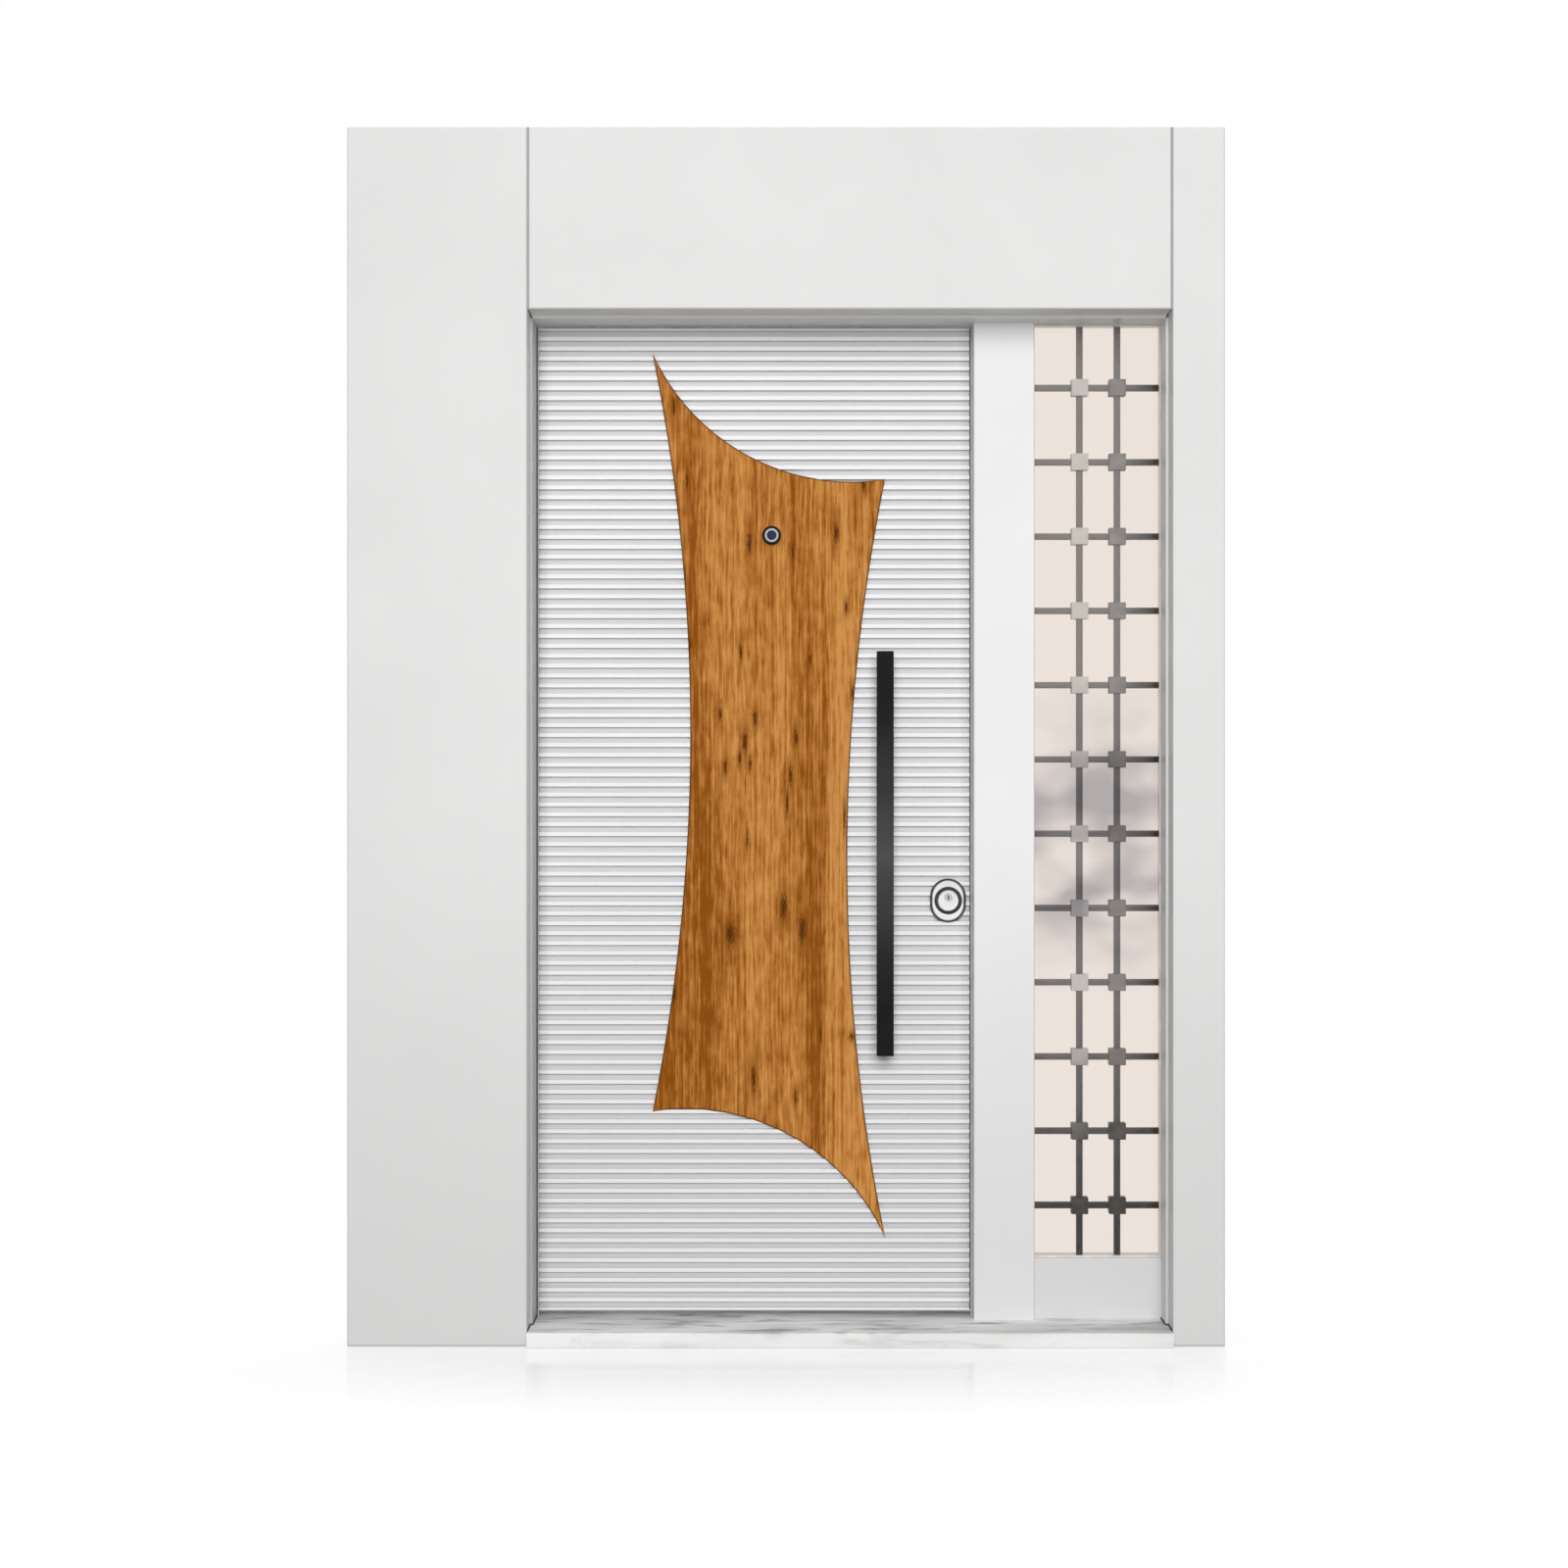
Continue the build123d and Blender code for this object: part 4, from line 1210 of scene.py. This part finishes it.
@dataclass
class FlutedLeaf(Assembly):
    """The leaf: a white panel of level flutes round the blade's pocket, on steel trays."""

    outline: BladeOutline
    pitch: float = 20.1 * MM
    flute: float = 12.5 * MM
    depth: float = 6.5 * MM
    wall: float = 1.4 * MM
    wall_steps: int = 5
    pocket: float = 8.0 * MM
    gap: float = 0.6 * MM
    edge_lip: float = 3.2 * MM
    wears = {"outer_tray": FRAME_PAINT, "inner_tray": FRAME_PAINT, "inner_panel": LACQUER,
             "bottom_sweep": RUBBER, "lock_faceplate": STEEL, "lock_bolts": STEEL}

    def build(self) -> None:
        """Carries the panel's section up the leaf.

        A section has its back, its two outer fronts and the pocket between them. At each height the fronts
        lie back by the flutes' depth times a smooth step of the distance from the nearest flute's middle,
        and the pocket's sides follow the blade's outline.
        """
        low, high = corners("fluted_panel")
        (middle, centre), tip = self.outline.middle, self.outline.tip[1]
        count = int((high[2] - low[2]) // self.pitch)
        first = (low[2] + high[2] - (count - 1) * self.pitch) / 2
        half = self.flute / 2
        step = half - self.wall * np.linspace(1, 0, self.wall_steps)
        flutes = first + self.pitch * np.arange(count)[:, None] + np.concatenate([-step[::-1], step])
        turns = centre + np.array([[1], [-1]]) * self.outline.turning() + np.array([-HAIR, HAIR])
        ends = [low[2], high[2], centre + tip, centre - tip]
        height = np.sort(np.concatenate([ends, flutes.ravel(), turns.ravel()]))
        away = np.abs((height - first + self.pitch / 2) % self.pitch - self.pitch / 2)
        hollow = 1 - smoothstep((away - half + self.wall) / self.wall)
        front, rise = low[1] + self.depth * hollow, height - centre
        inside = np.abs(rise) < tip
        right = middle + self.outline.right_edge(rise) + self.gap * inside
        left = middle - self.outline.right_edge(-rise) - self.gap * inside
        bottom = np.where(inside, low[1] + self.pocket, front)
        back, near, far = (np.full(height.shape, value) for value in (high[1], low[0], high[0] + self.edge_lip))
        across = np.stack([near, near, left, left, right, right, far, far], axis=-1)
        deep = np.stack([back, front, front, bottom, bottom, front, front, back], axis=-1)
        # the flute's depth is also the rim weight, from which the lacquer paints shade in the hollows
        panel = carry(np.stack([across, deep], axis=-1), height, Axis.Z, rim=hollow)
        make_piece("fluted_front", [panel], [FLUTES], Body.LEAF, Slot.LACQUER, "fluted_panel")


@dataclass
class TimberBlade(Assembly):
    """The curved timber blade let into the flutes."""

    outline: BladeOutline
    edge_ease: float = 1.6 * MM
    edge_steps: int = 5
    border: float = 1.6 * MM
    taper: float = 32.0 * MM

    def build(self) -> None:
        """Carries the outline forwards, drawn in along its own normals over a rounded edge.

        The inset falls to nothing towards the outline's corners, so that the sharp tips stay whole.
        """
        low, high = corners("wood_inlay")
        ring = self.outline.ring()
        points = np.array([self.outline.tip, self.outline.shoulder, -self.outline.tip, -self.outline.shoulder])
        reach = np.linalg.norm(ring[:, None] - (points + self.outline.middle), axis=-1).min(axis=1)
        share = np.clip(reach / self.taper, 0, 1)
        run = np.roll(ring, -1, axis=0) - np.roll(ring, 1, axis=0)
        inward = np.stack([run[:, 1], -run[:, 0]], axis=-1) / np.linalg.norm(run, axis=1, keepdims=True)
        inset, way = ease(self.edge_ease, self.edge_steps)
        inset = np.concatenate([[0.0], inset, [self.edge_ease + self.border]])
        depth = np.concatenate([[high[1]], low[1] + way, [low[1]]])
        # painted shade: the rim weight marks the rounded edge, where the timber finish draws the wood darker
        rim = np.concatenate([np.ones(len(inset) - 1), [0.0]])[:, None] * share
        blade = carry(ring + inset[:, None, None] * share[:, None] * inward, depth, Axis.Y, rim=rim)
        make_piece("timber_blade", [blade], [TIMBER], Body.LEAF, Slot.TIMBER, "wood_inlay")


@dataclass
class PullHandle(Assembly):
    """The long black pull bar on two posts."""

    corner: float = 3.0 * MM
    end_ease: float = 2.0 * MM
    post_foot: float = 3.0 * MM
    foot_ease: float = 2.0 * MM

    def build(self) -> None:
        """Makes the bar with rounded edges, and the posts as turned profiles with a flared foot."""
        bar = eased_block(*corners("pull_bar"), Axis.Z, self.corner, (self.end_ease, self.end_ease))
        make_piece("pull_grip", [bar], [BLACK], Body.LEAF, Slot.BLACK, "pull_bar")
        low, high = corners("pull_standoffs")
        radius, middle, length = (high[0] - low[0]) / 2, (low[0] + high[0]) / 2, high[1] - low[1]
        foot = rounded_profile((radius, 0), (radius, length - self.post_foot), (radius + self.post_foot, length),
                               self.foot_ease)
        profile = np.concatenate([[[0, 0], [radius, 0]], foot,
                                  [[radius + self.post_foot / 2, length], [0, length]]])
        posts = [lathe(profile, (middle, low[1], height), Axis.Y) for height in (low[2] + radius, high[2] - radius)]
        make_piece("pull_posts", posts, [BLACK], Body.LEAF, Slot.BLACK, "pull_standoffs")


@dataclass
class LockSet(Assembly):
    """The chrome oval with its dark collar, its round cover and the plug that a key turns."""

    plate_ease: float = 4.5 * MM
    plate_margin: float = 4.9 * MM
    plate_steps: int = 14
    seat: float = 4.0 * MM
    shade_outline_ease: float = 0.6 * MM
    shade_outline_margin: float = 1.8 * MM
    collar_ease: float = 1.4 * MM
    cover_ease: float = 2.2 * MM
    cover_steps: int = 7
    crown: float = 0.9 * MM
    crown_steps: int = 9
    bore_clearance: float = 0.5 * MM
    keyway: Pair = (1.9 * MM, 8.6 * MM)
    keyway_rise: float = 0.12 * MM
    keyway_corner: float = 0.6 * MM
    keyway_ease: float = 0.1 * MM
    keyway_steps: int = 4
    steps: int = 72
    wears = {"lock_plug": STEEL}

    def build(self) -> None:
        """Makes the oval on a black seat of painted shade, the collar, the cover and the keyway."""
        low, high = corners("lock_escutcheon")
        make_piece("lock_oval", [self.oval(low, high, self.plate_margin, self.plate_ease)], [CHROME], Body.LEAF,
                   Slot.CHROME, "lock_escutcheon")
        # painted shade: a black plate a little wider than the oval shows as a dark outline round it
        low[1] = high[1] - self.seat
        make_piece("lock_shade_outline", [self.oval(low, high, self.shade_outline_margin, self.shade_outline_ease)], [SEALANT], Body.LEAF,
                   Slot.BLACK)
        self.build_collar()
        self.build_cover()
        # painted shade: a thin black slit on the plug's face stands for the keyway's dark opening
        low, high = corners("lock_plug")
        half = np.array([self.keyway[0] / 2, self.keyway_rise, self.keyway[1] / 2])
        middle = (low + high) / 2
        middle[1] = low[1]
        slit = eased_block(middle - half, middle + half, Axis.Y, self.keyway_corner, (self.keyway_ease, 0.0),
                           self.keyway_steps)
        make_piece("keyway", [slit], [SEALANT], Body.PLUG, Slot.BLACK)

    def oval(self, low: Array, high: Array, margin: float, front_ease: float) -> Shape:
        """An upright oval, a block with corners as round as they can be.

        Args:
            low: its lowest corner before the margin.
            high: its highest corner before the margin.
            margin: how far it is drawn in at its sides.
            front_ease: the radius of its front edge.

        Returns:
            The oval as a shape.
        """
        inset, round_end = np.array([margin, 0.0, margin]), (high[0] - low[0]) / 2
        return eased_block(low + inset, high - inset, Axis.Y, round_end - margin, (front_ease, 0.0),
                           self.plate_steps)

    def build_collar(self) -> None:
        """Turns the collar's section, a strip with both front edges rounded, round the cover's middle."""
        cover_low, cover_high = corners("lock_dome")
        low, high = corners("lock_collar")
        middle = (cover_low + cover_high) / 2
        inner = (cover_high[0] - cover_low[0]) / 2 + self.bore_clearance
        outer, thick = (high[0] - low[0]) / 2, high[1] - low[1]
        ring = np.concatenate([[[inner, thick]],
                               rounded_profile((inner, thick), (inner, 0), (outer, 0), self.collar_ease),
                               rounded_profile((inner, 0), (outer, 0), (outer, thick), self.collar_ease),
                               [[outer, thick]]])
        collar = lathe(ring, (middle[0], low[1], middle[2]), Axis.Y, self.steps, looped=True)
        make_piece("lock_ring", [collar], [BLACK], Body.LEAF, Slot.BLACK, "lock_collar")

    def build_cover(self) -> None:
        """Makes the cover as circles whose centre slides from the plug's axis to the cover's own.

        The first circles line the plug's bore, the next spread over a slightly crowned front, and the last
        round the cover's edge and run back to its seat.
        """
        low, high = corners("lock_dome")
        plug_low, plug_high = corners("lock_plug")
        middle, radius = ((low + high) / 2)[[0, 2]], (high[0] - low[0]) / 2
        bore = (plug_high[0] - plug_low[0]) / 2 + self.bore_clearance
        offset = (plug_low[2] + plug_high[2]) / 2 - middle[1]
        share = np.linspace(0, 1, self.crown_steps)
        fall, way = (part[1:] for part in ease(self.cover_ease, self.cover_steps))
        spread = bore + (radius - self.cover_ease - bore) * share
        size = np.concatenate([[bore], spread, radius - way, [radius]])
        slide = np.concatenate([[0.0], share, np.ones(len(way) + 1)])
        depth = np.concatenate([[high[1]], low[1] + self.crown * share ** 2, low[1] + self.crown + fall, [high[1]]])
        hub = middle + np.stack([np.zeros(len(slide)), offset * (1 - slide)], axis=-1)
        cover = carry(hub[:, None] + size[:, None, None] * circle(self.steps), depth, Axis.Y, looped=True)
        make_piece("lock_cover", [cover], [CHROME], Body.LEAF, Slot.CHROME, "lock_dome")


@dataclass
class DoorViewer(Assembly):
    """The door viewer: a dark rim, a bright bezel and a domed lens outside, an eyepiece inside."""

    bezel: float = 13.2 * MM
    bezel_flat: float = 1.2 * MM
    bezel_rise: float = 0.1 * MM
    groove: float = 0.6 * MM
    groove_depth: float = 0.5 * MM
    face_depth: float = 0.2 * MM
    rim_ease: float = 2.0 * MM
    well: float = 9.6 * MM
    well_depths: Pair = (0.9 * MM, 0.7 * MM)
    cup_rise: float = 0.4 * MM
    cup_ease: float = 1.0 * MM
    lens: float = 8.4 * MM
    lens_dome: float = 1.6 * MM
    lens_share: float = 0.6
    lens_steps: int = 9
    steps: int = 56
    wears = {"viewer_eyepiece": CHROME}

    def build(self) -> None:
        """Turns the rim, the bezel and the dark well round the lens as one profile and the lens as another.

        The lens's front is the parabola d(s^2 - k) of the share s of its radius, with dome d and share k.
        """
        low, high = corners("viewer_flange")
        middle = (low + high) / 2
        outer, thick = (high[0] - low[0]) / 2, high[1] - low[1]
        floor, brink = self.well_depths
        well = np.array([[self.lens, thick], [self.lens, floor], [self.well, brink]])
        cup = rounded_profile((self.well, brink), (self.well, -self.cup_rise), (self.bezel, 0), self.cup_ease)
        edge = [[self.bezel - self.bezel_flat, -self.bezel_rise], [self.bezel, self.groove_depth],
                [self.bezel + self.groove, self.face_depth]]
        rim = rounded_profile((self.bezel, self.face_depth), (outer, self.face_depth), (outer, thick), self.rim_ease)
        profile = np.concatenate([well, cup, edge, rim, [[outer, thick]]])
        place = np.arange(len(profile))
        bright = (place >= len(well) - 1) & (place < len(well) + len(cup) + 2)
        flange = lathe(profile, (middle[0], low[1], middle[2]), Axis.Y, self.steps, bright.astype(int), True)
        make_piece("viewer_rim", [flange], [BLACK, BEZEL], Body.LEAF, Slot.BLACK, "viewer_flange")
        low, high = corners("viewer_lens")
        radius, deep, share = (high[0] - low[0]) / 2, high[1] - low[1], np.linspace(0, 1, self.lens_steps)
        dome = np.stack([radius * share, self.lens_dome * (share ** 2 - self.lens_share)], axis=-1)
        profile = np.concatenate([dome, [[radius, deep], [0, deep]]])
        lens = lathe(profile, (middle[0], low[1], middle[2]), Axis.Y, self.steps)
        make_piece("viewer_glass", [lens], [LENS], Body.LEAF, Slot.GLASS, "viewer_lens")


@dataclass
class RoomSide(Assembly):
    """What the room side has: the handle plate with its screws, the lever and the cylinder."""

    plate_ease: float = 2.6 * MM
    plate_corner: float = 9.0 * MM
    screw: float = 4.2 * MM
    screw_inset: float = 16.0 * MM
    screw_steps: int = 20
    screw_profile: tuple[Pair, ...] = ((0.0, 0.10), (0.42, 0.10), (0.46, 0.34), (0.72, 0.30), (0.94, 0.16),
                                       (1.0, -0.02), (0.9, -0.1))
    wears = {"inside_lever": STEEL, "inner_cylinder": STEEL}

    def build(self) -> None:
        """Makes the plate with a rounded room side, and two domed screw heads as turned profiles."""
        low, high = corners("handle_plate")
        plate = eased_block(low, high, Axis.Y, self.plate_corner, (0.0, self.plate_ease))
        make_piece("lever_plate", [plate], [STEEL], Body.LEAF, Slot.STEEL, "handle_plate")
        middle, profile = (low[0] + high[0]) / 2, np.array(self.screw_profile) * self.screw
        screws = [lathe(profile, (middle, high[1], height), Axis.Y, self.screw_steps)
                  for height in (low[2] + self.screw_inset, high[2] - self.screw_inset)]
        make_piece("plate_screws", screws, [STEEL], Body.LEAF, Slot.STEEL)


@dataclass
class Hinges(Assembly):
    """Three hinges with turned caps on their knuckles."""

    knuckle: float = 9.0 * MM
    cap: float = 5.0 * MM
    cap_steps: int = 32
    cap_profile: tuple[Pair, ...] = ((0.0, 0.0), (0.92, 0.0), (0.92, 0.2), (1.06, 0.3), (1.06, 0.55), (0.8, 0.85),
                                     (0.4, 0.98), (0.0, 1.0))
    names = ("lower_hinge", "middle_hinge", "upper_hinge")
    wears = dict.fromkeys([name + "_on_frame" for name in names] + [name + "_on_leaf" for name in names],
                          HINGE_STEEL)

    def build(self) -> None:
        """Turns a stepped and domed cap for the foot and the head of each hinge's knuckles."""
        upward = np.array(self.cap_profile) * np.array([self.knuckle, self.cap])
        feet, heads = [], []
        for name in self.names:
            low, high = corners(name + "_on_frame")
            top = corners(name + "_on_leaf")[1][2]
            across, deep = high[0] - self.knuckle, high[1] - self.knuckle
            feet.append(lathe(upward * np.array([1.0, -1.0]), (across, deep, low[2]), Axis.Z, self.cap_steps))
            heads.append(lathe(upward, (across, deep, top), Axis.Z, self.cap_steps))
        make_piece("hinge_feet", feet, [HINGE_STEEL], Body.FRAME, Slot.STEEL)
        make_piece("hinge_heads", heads, [HINGE_STEEL], Body.LEAF, Slot.STEEL)


@dataclass
class Studio:
    """The floor, the lights, the white surround and the camera."""

    eye: Point = (-0.130, -4.554, 1.109)
    lens: float = 52.4
    sensor: float = 36.0
    floor_size: float = 6.0
    floor_grid: int = 25
    floor_drop: float = 0.2 * MM
    floor_colour: Colour = (0.4, 0.4, 0.4)
    floor_glow: float = 0.48
    floor_middle: Point = (-0.126, 0.05, 0.0)
    fade_scale: Point = (0.45, 1.3, 0.0)
    fade: Pair = (0.36, 0.78)
    sun_strength: float = 1.43
    sun_spread: float = math.radians(30)
    sun_place: Point = (0.0, -6.0, 4.0)
    sun_height: float = math.radians(25)
    sun_aside: float = math.radians(0.5)
    lamp_size: float = 2.6
    fill_power: float = 92.0
    fill_place: Point = (0.0, -4.9, 2.1)
    back_power: float = 70.0
    back_place: Point = (1.7, 4.6, 2.5)
    back_tilt: float = math.radians(75)
    ambient: Pair = (0.33, 0.78)
    ambient_depths: Pair = (-0.05, 0.3)
    low_share: float = 0.55
    low_heights: Pair = (-0.5, 0.3)

    def place_camera(self) -> None:
        """Looks level along Y from where the photographer stood."""
        lens = bpy.data.cameras.new("camera")
        lens.lens, lens.sensor_width, lens.sensor_fit = self.lens, self.sensor, "HORIZONTAL"
        camera = bpy.data.objects.new("camera", lens)
        camera.location = self.eye
        camera.rotation_euler = (math.pi / 2, 0.0, 0.0)
        link(camera)
        bpy.context.scene.camera = camera

    def place_lights(self) -> None:
        """Lights the door with a broad even lamp from above, a softer one in front and one on the room side."""
        sun, fill, room = (bpy.data.lights.new(name, kind)
                           for name, kind in (("key", "SUN"), ("fill", "AREA"), ("room", "AREA")))
        sun.energy, sun.angle = self.sun_strength, self.sun_spread
        fill.energy, room.energy = self.fill_power, self.back_power
        fill.size = room.size = self.lamp_size
        back_turn = math.pi - math.atan2(self.back_place[0], self.back_place[1])
        for lamp, place, turn in ((sun, self.sun_place, (math.pi / 2 - self.sun_height, 0.0, self.sun_aside)),
                                  (fill, self.fill_place, (math.pi / 2, 0.0, 0.0)),
                                  (room, self.back_place, (self.back_tilt, 0.0, back_turn))):
            light = bpy.data.objects.new(lamp.name, lamp)
            light.location, light.rotation_euler = place, turn
            light.visible_glossy = light.visible_transmission = False
            link(light)

    def surround(self) -> None:
        """Shows a white world to the camera, to metal and to glass, and lights the rest plainly.

        The light's strength goes from the front's to the room side's with the direction's own Y, times a share
        that falls off below the horizon with its Z.
        """
        world = bpy.data.worlds.new("surround")
        bpy.context.scene.world = world
        wiring = Wiring(world)
        wiring.tree.nodes.clear()
        direction = wiring.add("TexCoord").outputs["Generated"]
        level = wiring.span(wiring.part(direction, Axis.Y), self.ambient_depths, self.ambient)
        share = wiring.span(wiring.part(direction, Axis.Z), self.low_heights, (self.low_share, 1.0))
        glow, seen = (wiring.add("Background", {"Color": WHITE, "Strength": strength}).outputs[0]
                      for strength in (wiring.calc("MULTIPLY", level, share), 1.0))
        mix = wiring.add("MixShader", {0: wiring.shown(), 1: glow, 2: seen})
        wiring.add("OutputWorld", {0: mix.outputs[0]})

    def lay_floor(self) -> None:
        """Lays a pale floor that keeps the shadow and fades into the surround away from the door."""
        reach = np.linspace(-self.floor_size, self.floor_size, self.floor_grid)
        across, deep = np.meshgrid(reach, reach)
        points = np.stack([across, deep, np.full(across.shape, -self.floor_drop)], axis=-1).reshape(-1, 3)
        number = np.arange(len(points)).reshape(across.shape)
        quads = np.stack([number[:-1, :-1], number[:-1, 1:], number[1:, 1:], number[1:, :-1]], axis=-1)
        mesh = bpy.data.meshes.new("floor")
        mesh.from_pydata(points.tolist(), [], quads.reshape(-1, 4).tolist())
        material = bpy.data.materials.new("floor_finish")
        wiring = Wiring(material)
        away = wiring.length(wiring.place(self.fade_scale, self.floor_middle))
        wiring.dress({"Base Color": self.floor_colour, "Roughness": 0.1, "Specular IOR Level": 0.3,
                      "Alpha": wiring.span(away, self.fade, (1.0, 0.0)), "Emission Color": WHITE,
                      "Emission Strength": wiring.calc("MULTIPLY", wiring.shown(), self.floor_glow)})
        mesh.materials.append(material)
        floor = bpy.data.objects.new("floor", mesh)
        link(floor)

    def build(self) -> None:
        """Sets up the studio."""
        self.place_camera()
        self.place_lights()
        self.surround()
        self.lay_floor()
        bpy.context.scene.view_settings.view_transform = "Standard"


def main() -> None:
    """Builds the door's looks in order."""
    logging.basicConfig(level=logging.INFO, format="%(name)s: %(message)s")
    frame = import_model()
    Studio().build()
    outline = BladeOutline()
    for part in (Facings(), SteelFrame(), Threshold(), Sidelight(), FlutedLeaf(outline), TimberBlade(outline),
                 PullHandle(), LockSet(), DoorViewer(), RoomSide(), Hinges()):
        part.dress(frame["nodes"])
        part.build()


if __name__ == "__main__":
    main()
